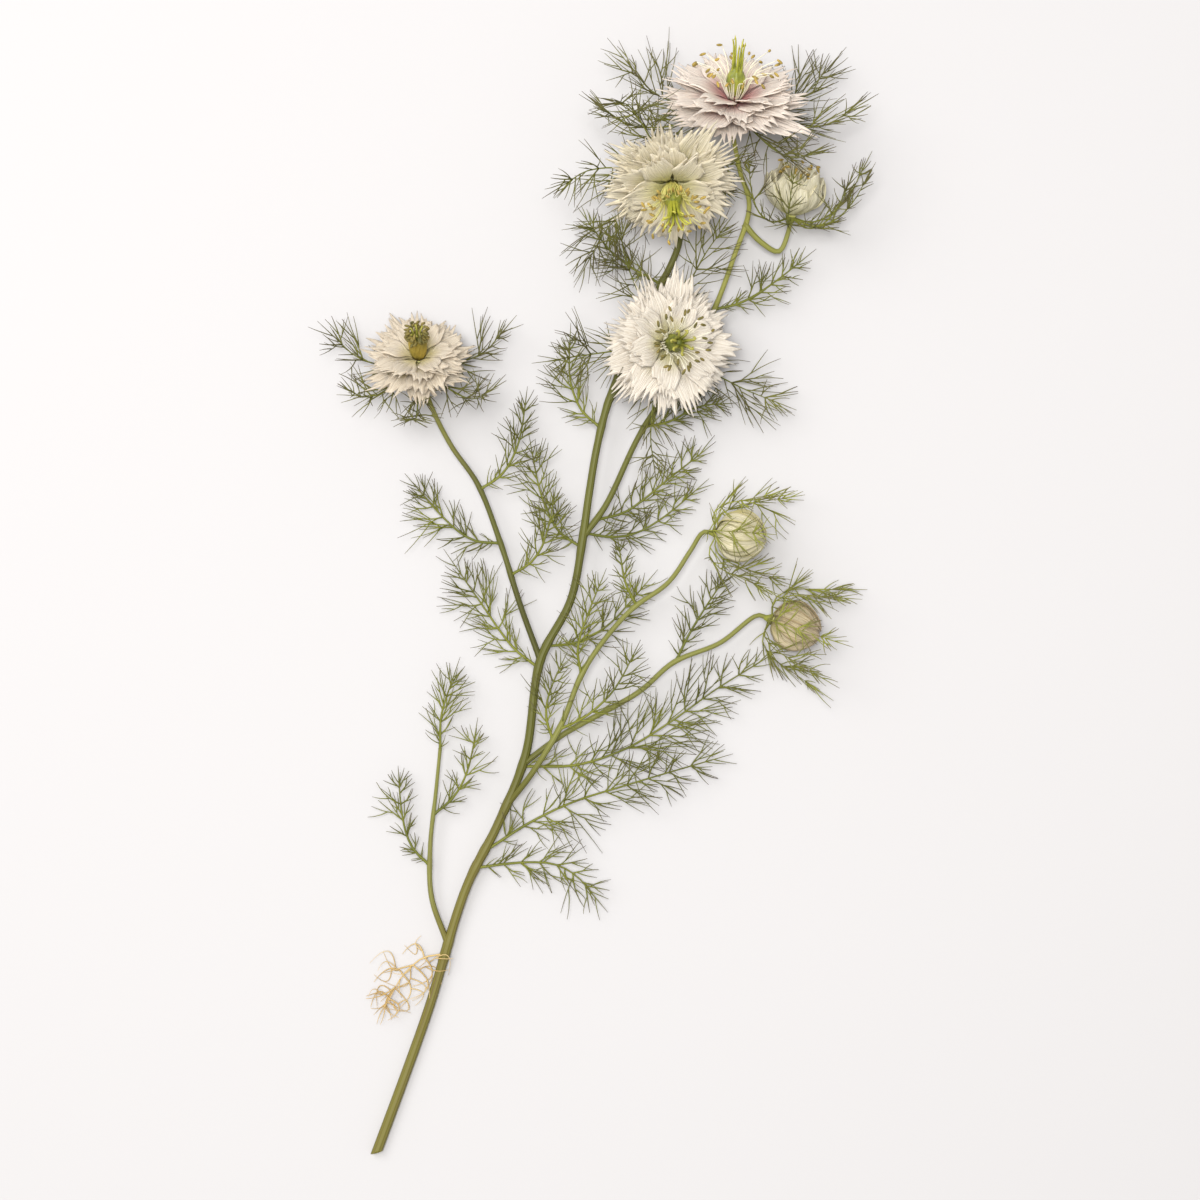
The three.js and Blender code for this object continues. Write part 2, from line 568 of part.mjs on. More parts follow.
// One petal out of a facet. Each place of the blade is a pair of points, on its upper and its lower
// face, and a tooth ends in one point.
function drawPetal(skin, facet, blade) {
  const pairAt = ([along, share]) => {
    const { middle, normal } = bladePlace(blade, along, share * blade.width);
    const faces = [0.5, -0.5].map((side) => middle.clone().addScaledVector(normal, side * PETAL_THICKNESS));
    return skin.loop(faces);
  };
  const pointAt = ([along, share]) => {
    const [tip] = skin.loop([bladePlace(blade, along, share * blade.width).middle]);
    return [tip, tip];
  };
  const rows = PETAL_ROWS.flatMap(([along, shares]) => shares.map((share) => pairAt([along, share])));
  const notches = PETAL_NOTCHES.map(pairAt);
  const teeth = PETAL_TEETH.map(pointAt);
  const [rightLow, leftLow, left, right] = facet;
  const places = [
    [left, leftLow], [right, rightLow], ...rows, teeth[0], notches[0], teeth[1], notches[1], teeth[2],
  ];
  for (const [a, b, c] of PETAL_COVER) {
    skin.triangles.push(places[a][0], places[b][0], places[c][0]);
    skin.triangles.push(places[a][1], places[c][1], places[b][1]);
  }
  PETAL_EDGE.slice(1).forEach((to, i) => {
    const [fromTop, fromLow] = places[PETAL_EDGE[i]];
    const [toTop, toLow] = places[to];
    if (toTop === toLow) skin.triangles.push(fromLow, toLow, fromTop);
    else if (fromTop === fromLow) skin.triangles.push(fromLow, toLow, toTop);
    else skin.triangles.push(fromLow, toLow, toTop, fromLow, toTop, fromTop);
  });
}

const PETAL_BASE = HUB_HEIGHT + SEAM;
const LAYER_HEIGHT = 0.8;
const LAYER_PITCH = 1.15;

// Petals in layers around a short core. Each layer is turned half a step from the one below.
function petals(group, { size, seed, layers, colour, shape }) {
  const skin = new Skin();
  const draw = drawsFrom(seed);
  const step = (2 * Math.PI) / PETALS_A_LAYER;
  const rootRadius = HUB_RADIUS * Math.cos(step / 2);
  let below = null;
  for (let layer = 0; layer < layers; layer++) {
    const height = PETAL_BASE + LAYER_PITCH * layer;
    const spin = (step / 2) * layer;
    const petal = (i) => (facet) => {
      const { length, width, ...bend } = shape(layer, draw);
      drawPetal(skin, facet, {
        azimuth: spin + step * i + draw(-0.05, 0.05),
        root: { radius: rootRadius, height: height + LAYER_HEIGHT / 2 },
        length: length * size, width: width * size, ...bend, twist: draw(-0.1, 0.1),
      });
    };
    const low = skin.loop(polygon(PETALS_A_LAYER, HUB_RADIUS, height, spin));
    if (below) joinTurned(skin, below, low);
    else skin.foot(low);
    const grown = Object.fromEntries(low.map((_, i) => [i, petal(i)]));
    below = skin.wall(low, polygon(PETALS_A_LAYER, HUB_RADIUS, height + LAYER_HEIGHT, spin), grown);
  }
  skin.flat(below);
  return meshOf(group.name + "_petals", skin.geometry(), colour);
}

// A band of triangles between two loops, the upper one turned half a step on.
function joinTurned(skin, lower, upper) {
  lower.forEach((corner, i) => {
    const next = (i + 1) % lower.length;
    skin.triangles.push(corner, lower[next], upper[i], lower[next], upper[next], upper[i]);
  });
}

const STAMEN_DISC = { radius: 1.8, height: 0.9 };
const STAMEN_RISE = { lower: 0.62, upper: 0.76 }; // share of their reach, of the two in one facet
const STAMEN_APART = 0.24; // turn of each of them from the facet's middle, as a share of the facet
const KNEE = { upright: 0.7, open: 0.35, height: 0.75, section: 0.5 }; // where a stamen bends over
const ANTHER_SECTION = 1.9; // of the stalk's own
const stamenBase = (layers) => PETAL_BASE + LAYER_PITCH * (layers - 1) + LAYER_HEIGHT + SEAM;

// Stamens in a ring: thin stalks that arch outwards, each with a swollen anther at its end. They
// stand upright at a spread of 0 and lie open at 1.
function stamens(group, { size, seed, layers, spread }) {
  const skin = new Skin();
  const draw = drawsFrom(seed);
  const base = stamenBase(layers);
  const step = (2 * Math.PI) / STAMEN_SIDES;
  const low = skin.loop(polygon(STAMEN_SIDES, STAMEN_DISC.radius, base));
  const stalk = (corners, azimuth, steepness) => {
    const root = skin.middle(corners);
    const reach = STAMEN_REACH * size * spread * draw(0.72, 1.08);
    const rise = STAMEN_REACH * size * steepness * draw(0.95, 1.08);
    const at = (out, up) => around(azimuth, STAMEN_DISC.radius + out, root.z + up);
    const bend = at(reach * mix(KNEE.upright, KNEE.open, spread), rise * KNEE.height);
    const knee = skin.wall(corners, skin.moved(corners, bend, KNEE.section));
    const anther = skin.wall(knee, skin.moved(knee, at(reach, rise), ANTHER_SECTION));
    skin.peak(anther, at(reach + ANTHER_LENGTH * 0.85, rise - ANTHER_LENGTH * 0.3));
  };
  const twoStamens = (i) => ([a, b, c, d]) => {
    stalk([a, b, c], step * (i + STAMEN_APART), STAMEN_RISE.lower);
    stalk([a, c, d], step * (i - STAMEN_APART), STAMEN_RISE.upper);
  };
  skin.foot(low);
  const grown = Object.fromEntries(low.map((_, i) => [i, twoStamens(i)]));
  skin.flat(skin.wall(low, polygon(STAMEN_SIDES, STAMEN_DISC.radius, base + STAMEN_DISC.height), grown));
  return meshOf(group.name + "_stamens", skin.geometry(), COLOURS.stamens);
}

// The ovary's outline: shares of its height and of its radius.
const OVARY_FOOT = [0, 0.6];
const OVARY_RINGS = [[0.32, 1], [0.7, 0.92], [0.95, 0.58]];
const OVARY_TOP = [1.06, 0.4];
const STYLE_SECTION = 0.62;

// The pistil: a ribbed ovary whose six styles stand up and curl outwards at their ends.
function pistil(group, { size, seed, layers }) {
  const skin = new Skin();
  const draw = drawsFrom(seed);
  const base = stamenBase(layers) + STAMEN_DISC.height + SEAM;
  const ring = ([height, radius]) =>
    polygon(6, OVARY.radius * radius * size, base + OVARY.height * height * size);
  const style = (i) => (facet) => {
    const azimuth = (Math.PI / 3) * i;
    const length = STYLE_LENGTH * size * draw(0.85, 1.1);
    const bend = skin.middle(facet).add(around(azimuth, length * 0.16, length * 0.62));
    const loop = skin.wall(facet, skin.moved(facet, bend, STYLE_SECTION));
    skin.peak(loop, bend.clone().add(around(azimuth + draw(-0.5, 0.5), length * 0.36, length * 0.2)));
  };
  let loop = skin.loop(ring(OVARY_FOOT));
  skin.foot(loop);
  for (const level of OVARY_RINGS) loop = skin.wall(loop, ring(level));
  const styles = Object.fromEntries(loop.map((_, i) => [i, style(i)]));
  skin.flat(skin.wall(loop, ring(OVARY_TOP), styles));
  return meshOf(group.name + "_pistil", skin.geometry(), COLOURS.pistil);
}

const BLOOM_RIB = [[HUB_RADIUS, 0.5], [9, -0.7], [18, -2], [BRACT_REACH * 0.8, 0], [BRACT_REACH, 6]];
const openPetal = (layer, draw) => ({
  length: PETAL_LENGTH * [1, 1, 0.92, 0.74][layer] * draw(0.92, 1.06),
  width: PETAL_WIDTH * [1, 1, 0.92, 0.78][layer],
  rise: radians([6, 15, 24, 34][layer] + draw(-2, 2)),
  curl: radians(-[10, 15, 18, 22][layer] + draw(-3, 3)),
  cup: draw(0.3, 0.9),
});

function bloom(spec, index) {
  const group = headGroup(spec);
  const seed = 11 * (index + 1);
  const { size, bracts: directions, short } = spec;
  const course = BLOOM_RIB.map(([radius, height]) => [radius * (radius > HUB_RADIUS ? size : 1), height]);
  const layers = PETAL_LAYERS;
  group.add(
    bracts(group, { directions, short, seed, course, pairs: 3, reach: 12 * size }),
    petals(group, { size, seed: seed + 1, layers, colour: COLOURS.petals, shape: openPetal }),
    stamens(group, { size, seed: seed + 2, layers, spread: 1 }),
    pistil(group, { size, seed: seed + 3, layers }),
  );
  return group;
}

// The half-open bloom: two layers of petals that still close into a cup.
const CUP_LAYERS = 2;
const CUP_RIB = [[HUB_RADIUS, 0.5], [8, -0.4], [15, 3], [20, 10], [23, 18]];
const cuppedPetal = (layer, draw) => ({
  length: 21 * draw(0.95, 1.04),
  width: [8.6, 7.4][layer],
  rise: radians([18, 33][layer]),
  curl: radians([86, 72][layer] + draw(-3, 3)),
  cup: 0.9,
});

function halfOpenBloom() {
  const { size, bracts: directions } = HALF_OPEN_BLOOM;
  const group = headGroup(HALF_OPEN_BLOOM);
  const layers = CUP_LAYERS;
  group.add(
    bracts(group, { directions, seed: 71, course: CUP_RIB, pairs: 3, reach: 8 }),
    petals(group, { size, seed: 72, layers, colour: COLOURS.petalsYoung, shape: cuppedPetal }),
    stamens(group, { size, seed: 73, layers, spread: 0.25 }),
    pistil(group, { size: size * 0.75, seed: 74, layers }),
  );
  return group;
}

// ---------------------------------------------------------------- buds

const BUD_SIDES = 10; // five closed petals: a crest and a seam each
const SEAM_DEPTH = 0.1;
const BUD_LATITUDES = [-70, -38, -6, 26, 56];
const BUD_WIND = 0.12; // turn from one latitude to the next
const BUD_POINT = 1.22; // height of its point over its middle, in radii
const BUD_RIB = [[HUB_RADIUS, 0.5], [6.5, -0.2], [11, 4], [13.5, 11], [16, 19]];

// A globe of closed petals that wind a little about its axis, up to a short point.
function budHead(turn) {
  const skin = new Skin();
  const middle = PETAL_BASE + BUD_RADIUS * Math.sin(radians(-BUD_LATITUDES[0]));
  const ring = (latitude, level) => {
    const angle = radians(latitude);
    const height = middle + BUD_RADIUS * Math.sin(angle);
    return Array.from({ length: BUD_SIDES }, (_, i) => {
      const radius = BUD_RADIUS * Math.cos(angle) * (i % 2 ? 1 - SEAM_DEPTH : 1);
      return around((2 * Math.PI * i) / BUD_SIDES + BUD_WIND * level + radians(turn), radius, height);
    });
  };
  let loop = skin.loop(ring(BUD_LATITUDES[0], 0));
  skin.foot(loop);
  BUD_LATITUDES.slice(1).forEach((latitude, i) => (loop = skin.wall(loop, ring(latitude, i + 1))));
  skin.peak(loop, around(0, 0, middle + BUD_RADIUS * BUD_POINT));
  return skin.geometry();
}

// The bud's head with what lies below the surface pressed flat, so that it rests on a small spot.
function restingHead(group, turn) {
  const block = new THREE.BoxGeometry(60, 60, 20).translate(0, 0, -10);
  block.applyMatrix4(new THREE.Matrix4().makeTranslation(group.position.x, group.position.y, 0));
  block.applyMatrix4(group.matrix.clone().invert());
  return geometryOf(wasmSolid(budHead(turn)).subtract(wasmSolid(block)));
}

function bud(spec, index) {
  const group = headGroup(spec);
  group.add(
    bracts(group, { directions: spec.bracts, seed: 81 + index, course: BUD_RIB, pairs: 3, reach: 8 }),
    meshOf(spec.name + "_head", restingHead(group, spec.turn), COLOURS.bud),
  );
  return group;
}

// ---------------------------------------------------------------- the whole stem

const wholeStem = new THREE.Group();
wholeStem.name = "love_in_a_mist_stem";
wholeStem.add(stem(), ...BLOOMS.map(bloom), halfOpenBloom(), ...BUDS.map(bud), ...FRONDS.map(frond));

export default wholeStem;
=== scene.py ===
"""Love-in-a-mist, the white double form: one cut, branched flowering stem lying on a pale surface.

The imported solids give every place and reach. Each of them is stood for by a finer piece that grows
along the same middle lines, from the same seeded draws: the stem as round grooved stalks, every leaf
and bract cut into threads, and the blooms with silky, pleated petals that end in long teeth.

Sizes are millimetres until a finished mesh is made, and then metres.
"""

from bisect import bisect_right
from math import atan2, cos, exp, pi, radians, sin

import bmesh
import bpy
from mathutils import Matrix, Quaternion, Vector


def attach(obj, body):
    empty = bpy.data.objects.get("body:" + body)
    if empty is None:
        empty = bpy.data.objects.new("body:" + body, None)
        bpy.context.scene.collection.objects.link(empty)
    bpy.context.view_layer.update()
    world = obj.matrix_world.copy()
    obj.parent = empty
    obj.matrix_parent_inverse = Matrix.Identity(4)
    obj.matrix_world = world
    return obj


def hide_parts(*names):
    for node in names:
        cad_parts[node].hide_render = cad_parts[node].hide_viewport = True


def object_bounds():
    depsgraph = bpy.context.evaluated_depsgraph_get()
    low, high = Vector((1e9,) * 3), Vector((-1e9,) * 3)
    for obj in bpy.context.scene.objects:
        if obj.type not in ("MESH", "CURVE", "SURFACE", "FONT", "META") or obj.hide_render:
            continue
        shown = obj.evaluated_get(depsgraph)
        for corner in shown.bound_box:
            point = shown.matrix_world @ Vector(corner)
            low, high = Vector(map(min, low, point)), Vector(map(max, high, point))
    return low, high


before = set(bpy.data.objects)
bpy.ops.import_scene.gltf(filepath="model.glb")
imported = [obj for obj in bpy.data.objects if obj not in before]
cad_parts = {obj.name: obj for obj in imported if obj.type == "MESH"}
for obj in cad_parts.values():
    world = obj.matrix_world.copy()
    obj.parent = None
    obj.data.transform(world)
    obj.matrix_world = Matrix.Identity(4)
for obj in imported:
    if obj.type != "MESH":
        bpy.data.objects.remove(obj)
plain_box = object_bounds()

MM = 0.001
UP = Vector((0, 0, 1))

# ---- driving sizes

SEAM = 0.3  # between the end of a stalk and the head on it
SURFACE_CLEARANCE = 0.6  # lowest that a thread's end comes to the surface
SOFT_LANDING = 4.0  # below this height a drooping thread bends off along the surface
LANDING_SLOPE = 0.35
REST_HEIGHT = 0.3  # lowest that any middle line comes

STEM_RADIUS = (1.65, 0.95)  # at the cut end and at the top
STALK_RADIUS = (0.95, 0.7)  # at its fork and at its head
SHOOT_RADIUS = (0.95, 0.5)  # of a shoot without a head
CUT_SLANT = radians(35)
NODE_SWELL = 0.13  # how much thicker the stem is where a leaf or a stalk leaves it
NODE_REACH = 2.4
GROOVES = 11

PETAL_LENGTH = 20.0
PETAL_WIDTH = 9.4
PETAL_WALL = 0.22
PETALS_A_LAYER = 6
HUB_RADIUS = 1.9
HUB_HEIGHT = 1.2
PETAL_BASE = HUB_HEIGHT + SEAM
LAYER_HEIGHT = 0.8
LAYER_PITCH = 1.15
CUPPED_LENGTH = 21.0
HALF_OPEN_HEART = 0.75  # size of its pistil, next to an open bloom's
NARROW_LAYERS = 3  # layers with narrower petals between the others
NARROW_OVER = 0.4  # how much higher those sit

BRACT_REACH = 33.0
SHORT_BRACT = 0.66
SHORT_BRACT_SAG = 0.11

STAMEN_REACH = 12.0
STAMEN_SIDES = 10
STAMEN_DISC = (1.8, 0.9)  # radius and height
ANTHER_LENGTH = 2.2
OVARY_RADIUS = 2.5
OVARY_HEIGHT = 7.0
STYLE_LENGTH = 8.0
BUD_RADIUS = 7.4

# "teeth" are those of a petal in each layer, from "notch" outwards; "stamens" says how far they
# spread, how high they stand and in how many inner rings; "styles" says how many, how long, how far
# apart and how thick.
BLOOMS = [
    {"name": "lead_bloom", "seat": (19.2, 80, 14), "axis": (0.3, -0.05, 0.95), "size": 1.12,
     "bracts": (20, 92, 164, 252, 308), "teeth": (8, 7, 6, 5), "notch": (0.64, 0.84),
     "stamens": (0.62, 1.3, 1), "styles": (7, 0.62, 1, 1.4)},
    {"name": "nodding_bloom", "seat": (21.2, 131.2, 28.1), "axis": (0.05, -0.75, 0.66), "size": 1.1,
     "bracts": (-124, -88, 25, 80, 135), "short": (0, 1), "teeth": (8, 7, 6, 5), "notch": (0.64, 0.84),
     "stamens": (0.66, 1.3, 2), "styles": (9, 1.25, 0.6, 1.1)},
    {"name": "top_bloom", "seat": (40.8, 150.8, 19.4), "axis": (0.05, 0.78, 0.62), "size": 1.2,
     "bracts": (-115, -72, 40, 88, 128), "teeth": (7, 6, 6, 5), "notch": (0.62, 0.84),
     "stamens": (0.8, 1, 1), "styles": (5, 1.3, 0.12, 0.8)},
    {"name": "left_bloom", "seat": (-57, 72.8, 10.4), "axis": (-0.02, 0.62, 0.78), "size": 0.87,
     "bracts": (-105, -52, 0, 52, 105), "teeth": (6, 5, 5, 4), "notch": (0.6, 0.82),
     "stamens": (0.08, 1.4, 4), "styles": (6, 0.7, 0.6, 1.3)},
]
HALF_OPEN_BLOOM = {
    "name": "half_open_bloom", "seat": (59.5, 119.7, 7.5), "axis": (0.15, 0.93, 0.33), "size": 0.8,
    "bracts": (-42, -4, 34, 74, 114), "teeth": (3, 2), "notch": (0.8, 0.92),
    "stamens": (0.42, 1.8, 1), "styles": (6, 1, 1, 1),
}
BUDS = [
    {"name": "upper_bud", "seat": (35.4, 21, 10.5), "axis": (0.93, -0.1, 0.35), "turn": 0,
     "bracts": (-122, -61, 0, 61, 122)},
    {"name": "lower_bud", "seat": (52.8, -5.9, 6.1), "axis": (0.95, -0.3, 0.05), "turn": 22,
     "bracts": (-104, -52, 0, 52, 104)},
]

LEAD, NODDING, TOP, LEFT = BLOOMS
UPPER, LOWER = BUDS
MATURE, CUT_FACE, BRANCHED, YOUNG, TOPMOST, TWIG = range(6)  # the stem's finishes

# The stem and its stalks: the head that each carries, its radii, its finish, and its middle line from
# the root end.
STALK_COURSES = [
    (NODDING, STEM_RADIUS, MATURE, [
        (-72, -177, 1.65), (-62, -150, 1.7), (-54.6, -129, 1.9), (-42.8, -91, 3), (-32.8, -71, 4),
        (-24, -49, 5), (-19.3, -19, 6.5), (-9.7, 0, 7.5), (-5.9, 19.7, 8), (-4, 33, 8), (-1.5, 48, 7.5),
        (2, 62, 7), (9, 80, 6), (18, 98, 5), (24.5, 113, 5), (24.5, 127, 8), (22.5, 137.5, 15)]),
    (LEAD, STALK_RADIUS, BRANCHED, [(2, 62, 7), (8, 70.5, 7.5), (13.5, 76.5, 7.5)]),
    (LEFT, STALK_RADIUS, BRANCHED, [
        (-19.3, -19, 6.5), (-25.6, -1.7, 6.5), (-31.9, 18, 6), (-39.1, 36.5, 5.5), (-47.5, 48.7, 4.8),
        (-53.3, 60, 4)]),
    (TOP, STALK_RADIUS, TOPMOST, [
        (-5.9, 19.7, 8), (1.3, 29.8, 7.5), (11.8, 51.7, 6.5), (24.5, 72, 5.5), (34.9, 90.3, 6),
        (41.6, 107.9, 7), (46.5, 124, 8), (43.5, 135, 9)]),
    (HALF_OPEN_BLOOM, STALK_RADIUS, TWIG, [(44.8, 118.5, 7.6), (50, 113, 7), (56, 110, 5.5)]),
    (UPPER, STALK_RADIUS, YOUNG, [
        (-30, -65, 4.3), (-21.5, -54, 8), (-12.6, -39, 9.5), (-6.3, -23.5, 9.5), (0.8, -12.6, 9.5),
        (10, -2.5, 9), (21, 5.5, 8.5), (28, 15.5, 7.5)]),
    (LOWER, STALK_RADIUS, YOUNG, [
        (-25.6, -52.5, 5), (-12.6, -42.8, 5), (11.8, -29, 5.5), (22.7, -19.7, 6), (37.4, -13.5, 6.3)]),
    (None, SHOOT_RADIUS, YOUNG, [
        (-48.7, -109, 2.4), (-53.8, -94, 3.5), (-54.2, -78, 4), (-52.5, -62, 4.5), (-51, -47, 5)]),
]

# Leaves: name, pairs of side branches, reach of the longest, and the rib's middle line.
LEAVES = [
    ("frond_low_right", 9, 13, [(-36.8, -79.4, 3.4), (-15.5, -66.5, 4.5), (6, -59, 6), (35, -50.5, 5)]),
    ("frond_low_drooping", 6, 10, [(-39.5, -85.5, 3), (-22, -83, 2.2), (-11, -85, 2), (-3, -93, 1.6)]),
    ("frond_right_long", 10, 14,
     [(-25.6, -52.5, 5), (-12, -53, 2), (12, -45, 2.6), (32, -31, 3.5), (50, -19.7, 3)]),
    ("frond_stalk_left", 5, 8, [(-15, -44, 9), (-17.5, -36, 11), (-16, -28, 12.5), (-12.5, -20, 12)]),
    ("frond_stalk_right", 6, 9, [(-13.5, -41, 9.5), (-5, -36.5, 12), (4, -28, 13.5), (10, -17, 13)]),
    ("frond_stalk_upper", 6, 8, [(-6.3, -23.5, 9.5), (-7.5, -15, 12.5), (-4.5, -5, 14), (-0.5, 5, 13.5)]),
    ("tuft_upper_bud_stalk", 4, 6, [(10.9, -1.8, 9), (7.5, 5.5, 10.5), (5.5, 16.5, 11.5)]),
    ("frond_lower_bud_stalk", 6, 9, [(23.5, -19.5, 6), (27.5, -11, 6.5), (33, -2, 6), (38, 5.5, 5)]),
    ("frond_fork_left", 7, 11, [(-20, -22, 6.3), (-28, -15, 4.5), (-36, -4, 5.5), (-45, 9, 5.5)]),
    ("frond_fork_right", 6, 9, [(-17, -14, 6.8), (-8, -13.5, 4), (2, -8, 3.6), (13, 4, 3.4)]),
    ("frond_left_inner", 6, 9, [(-28.6, 8, 6.2), (-21, 13, 8), (-17, 22, 9.5), (-15, 32, 9.5)]),
    ("frond_left_outer", 6, 10, [(-32, 18, 6), (-41, 19, 4.5), (-50, 26, 4), (-58, 35, 3.6)]),
    ("frond_left_high", 6, 9, [(-38.5, 35, 5.5), (-31, 40, 7), (-26, 50, 8), (-24, 62, 8)]),
    ("frond_fork_upper_left", 7, 9, [(-6.5, 16, 7.9), (-13, 21, 6), (-19, 33, 5.5), (-22, 47, 5)]),
    ("frond_fork_upper_right", 8, 9, [(-2, 25, 7.8), (8, 28, 5.6), (19, 36.5, 5), (31, 46, 4)]),
    ("frond_fan_right", 6, 9, [(-5.5, 21, 8), (7, 20, 4.6), (18, 25, 4), (29, 34, 3.4)]),
    ("frond_shoot_low", 6, 8, [(13.5, 54.5, 6.4), (22, 56.5, 5), (30, 61, 4.4), (38, 62, 3.6)]),
    ("frond_stem_high", 6, 9, [(0, 54, 7.2), (-6.5, 60, 7), (-10, 70, 7.5), (-10, 81, 7)]),
    ("frond_shoot_high", 6, 9, [(35.5, 91.5, 6), (43.5, 93.5, 7), (53, 99, 8), (62, 106, 8)]),
    ("frond_top_left", 6, 9, [(19, 100, 5), (11, 104, 5), (3, 110, 5.5), (-4, 119, 6)]),
    ("frond_side_shoot_low", 5, 8, [(-54.2, -84, 3.8), (-60, -78, 4.5), (-63, -68, 5), (-64, -57, 5)]),
    ("frond_side_shoot_mid", 5, 8,
     [(-53.2, -68, 4.3), (-46.5, -62, 5.5), (-42, -53, 6.5), (-40, -43, 6.5)]),
    ("tuft_side_shoot", 5, 9, [(-51, -47, 5), (-51, -43, 5), (-50.5, -36, 6), (-47, -25, 6.5)]),
    ("dry_threads", 5, 9, [(-49.5, -112, 2.2), (-56, -113, 1.8), (-63, -119, 1.6), (-68, -128, 1.4)]),
]

# ---- small helpers


def mix(low, high, share):
    return low + (high - low) * share


def eased(low, high, value):
    """0 up to low, 1 from high on, and a smooth rise between."""
    share = min(max((value - low) / (high - low), 0), 1)
    return share * share * (3 - 2 * share)


def turned(vector, axis, angle):
    return Quaternion(axis, angle) @ vector


def around(azimuth, radius, height):
    return Vector((radius * cos(azimuth), radius * sin(azimuth), height))


class Draws:
    """A seeded source of numbers between two limits, the one that the solids were grown from."""

    FACTOR, STEP, ALL = 1664525, 1013904223, 2**32

    def __init__(self, seed):
        self.state = seed

    def __call__(self, low, high):
        self.state = (self.state * self.FACTOR + self.STEP) % self.ALL
        return mix(low, high, self.state / self.ALL)


class SmoothLine:
    """A smooth line through places, read by the share of its length."""

    STEPS = 160
    NEARBY = 0.01  # a heading is read this far to both sides

    def __init__(self, places):
        self.places = [Vector(place) for place in places]
        self.spots = [self.spot(i / self.STEPS) for i in range(self.STEPS + 1)]
        self.run = [0.0]
        for before, after in zip(self.spots, self.spots[1:]):
            self.run.append(self.run[-1] + (after - before).length)
        self.length = self.run[-1]

    def spot(self, share):
        last = len(self.places) - 1
        i = min(int(share * last), last - 1)
        w = share * last - i
        b, c = self.places[i], self.places[i + 1]
        a = self.places[i - 1] if i else 2 * b - c
        d = self.places[i + 2] if i + 2 <= last else 2 * c - b
        ab, bc, cd = (max((q - p).length, 1e-6) ** 0.5 for p, q in ((a, b), (b, c), (c, d)))
        leave = ((b - a) / ab - (c - a) / (ab + bc) + (c - b) / bc) * bc
        arrive = ((c - b) / bc - (d - b) / (bc + cd) + (d - c) / cd) * bc
        return (
            b * (2 * w**3 - 3 * w**2 + 1) + leave * (w**3 - 2 * w**2 + w)
            + c * (3 * w**2 - 2 * w**3) + arrive * (w**3 - w**2)
        )

    def at(self, share):
        gone = min(max(share, 0), 1) * self.length
        i = min(bisect_right(self.run, gone), self.STEPS) - 1
        return self.spots[i].lerp(self.spots[i + 1], (gone - self.run[i]) / (self.run[i + 1] - self.run[i]))

    def heading(self, share):
        return (self.at(share + self.NEARBY) - self.at(share - self.NEARBY)).normalized()

    def evenly(self, count):
        return [self.at(i / (count - 1)) for i in range(count)]


def landed(point):
    """Keeps a point above the surface: what would fall further bends off along it instead."""
    height = mix(SOFT_LANDING, point.z, LANDING_SLOPE) if point.z < SOFT_LANDING else point.z
    return Vector((point.x, point.y, max(height, SURFACE_CLEARANCE)))


def rib_frame(line, share, over):
    """A rib's own directions: its place, along it, over it and to its right."""
    along = line.heading(share)
    top = (over - along * over.dot(along)).normalized()
    return line.at(share), along, top, along.cross(top)


def facing(spec):
    return Vector(spec["axis"]).normalized()


def seat_of(spec):
    """A head's own directions: Z is its axis, and X looks away from the surface."""
    axis = facing(spec)
    away = (UP - axis * UP.dot(axis)).normalized()
    turn = Matrix((away, axis.cross(away), axis)).transposed()
    return Matrix.Translation(Vector(spec["seat"])) @ turn.to_4x4()


# ---- finished meshes

MATERIAL_SLOTS = 6
TOUCHING = 1e-7  # metres; corners of a sheet that are closer are one
SAME_PLACE = 1e-6  # the same for the ends of lines


def in_scene(name, data):
    thing = bpy.data.objects.new(name, data)
    bpy.context.scene.collection.objects.link(thing)
    return thing


def mesh_piece(name, bm, materials):
    mesh = bpy.data.meshes.new(name)
    bm.to_mesh(mesh)
    bm.free()
    for material in materials:
        mesh.materials.append(material)
    return in_scene(name, mesh)


def mapped_mesh():
    """An empty mesh with a UV map."""
    bm = bmesh.new()
    bm.loops.layers.uv.new("UVMap")
    return bm


def linked(verts, kind):
    """The edges or faces at some corners, each once and in a steady order."""
    return list(dict.fromkeys(part for vert in verts for part in getattr(vert, kind)))


def finish_faces(faces, smooth, material):
    for face in faces:
        face.smooth = smooth
        face.material_index = material


class Growth:
    """Round tapering lines, gathered and then made one mesh. Fine lines have four sides each."""

    def __init__(self):
        self.lines = {}

    def add(self, places, radii, material=0, fineness=0):
        self.lines.setdefault(fineness, []).append((places, radii, material))

    def into(self, bm):
        """Adds all lines to a mesh, and returns it."""
        for fineness, lines in self.lines.items():
            curve = bpy.data.curves.new("lines", "CURVE")
            curve.dimensions = "3D"
            curve.bevel_depth = MM
            curve.bevel_resolution = fineness
            curve.use_fill_caps = True
            for _ in range(MATERIAL_SLOTS):
                curve.materials.append(None)
            for places, radii, material in lines:
                spline = curve.splines.new("POLY")
                spline.points.add(len(places) - 1)
                spots = [part for p in places for part in (p.x * MM, p.y * MM, p.z * MM, 1)]
                spline.points.foreach_set("co", spots)
                spline.points.foreach_set("radius", radii)
                spline.material_index = material
            carrier = in_scene("lines", curve)
            graph = bpy.context.evaluated_depsgraph_get()
            mesh = bpy.data.meshes.new_from_object(carrier.evaluated_get(graph))
            bm.from_mesh(mesh)
            bpy.data.objects.remove(carrier)
            bpy.data.curves.remove(curve)
            bpy.data.meshes.remove(mesh)
        bmesh.ops.remove_doubles(bm, verts=bm.verts[:], dist=SAME_PLACE)
        bmesh.ops.recalc_face_normals(bm, faces=bm.faces[:])
        for face in bm.faces:
            face.smooth = True
        return bm


def finish_piece(node, bm, materials):
    """One visible piece: it stands for its solid and takes its finish from a slot."""
    piece = mesh_piece(node + "_fine", bm, materials)
    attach(piece, "root")
    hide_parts(node)
    return piece


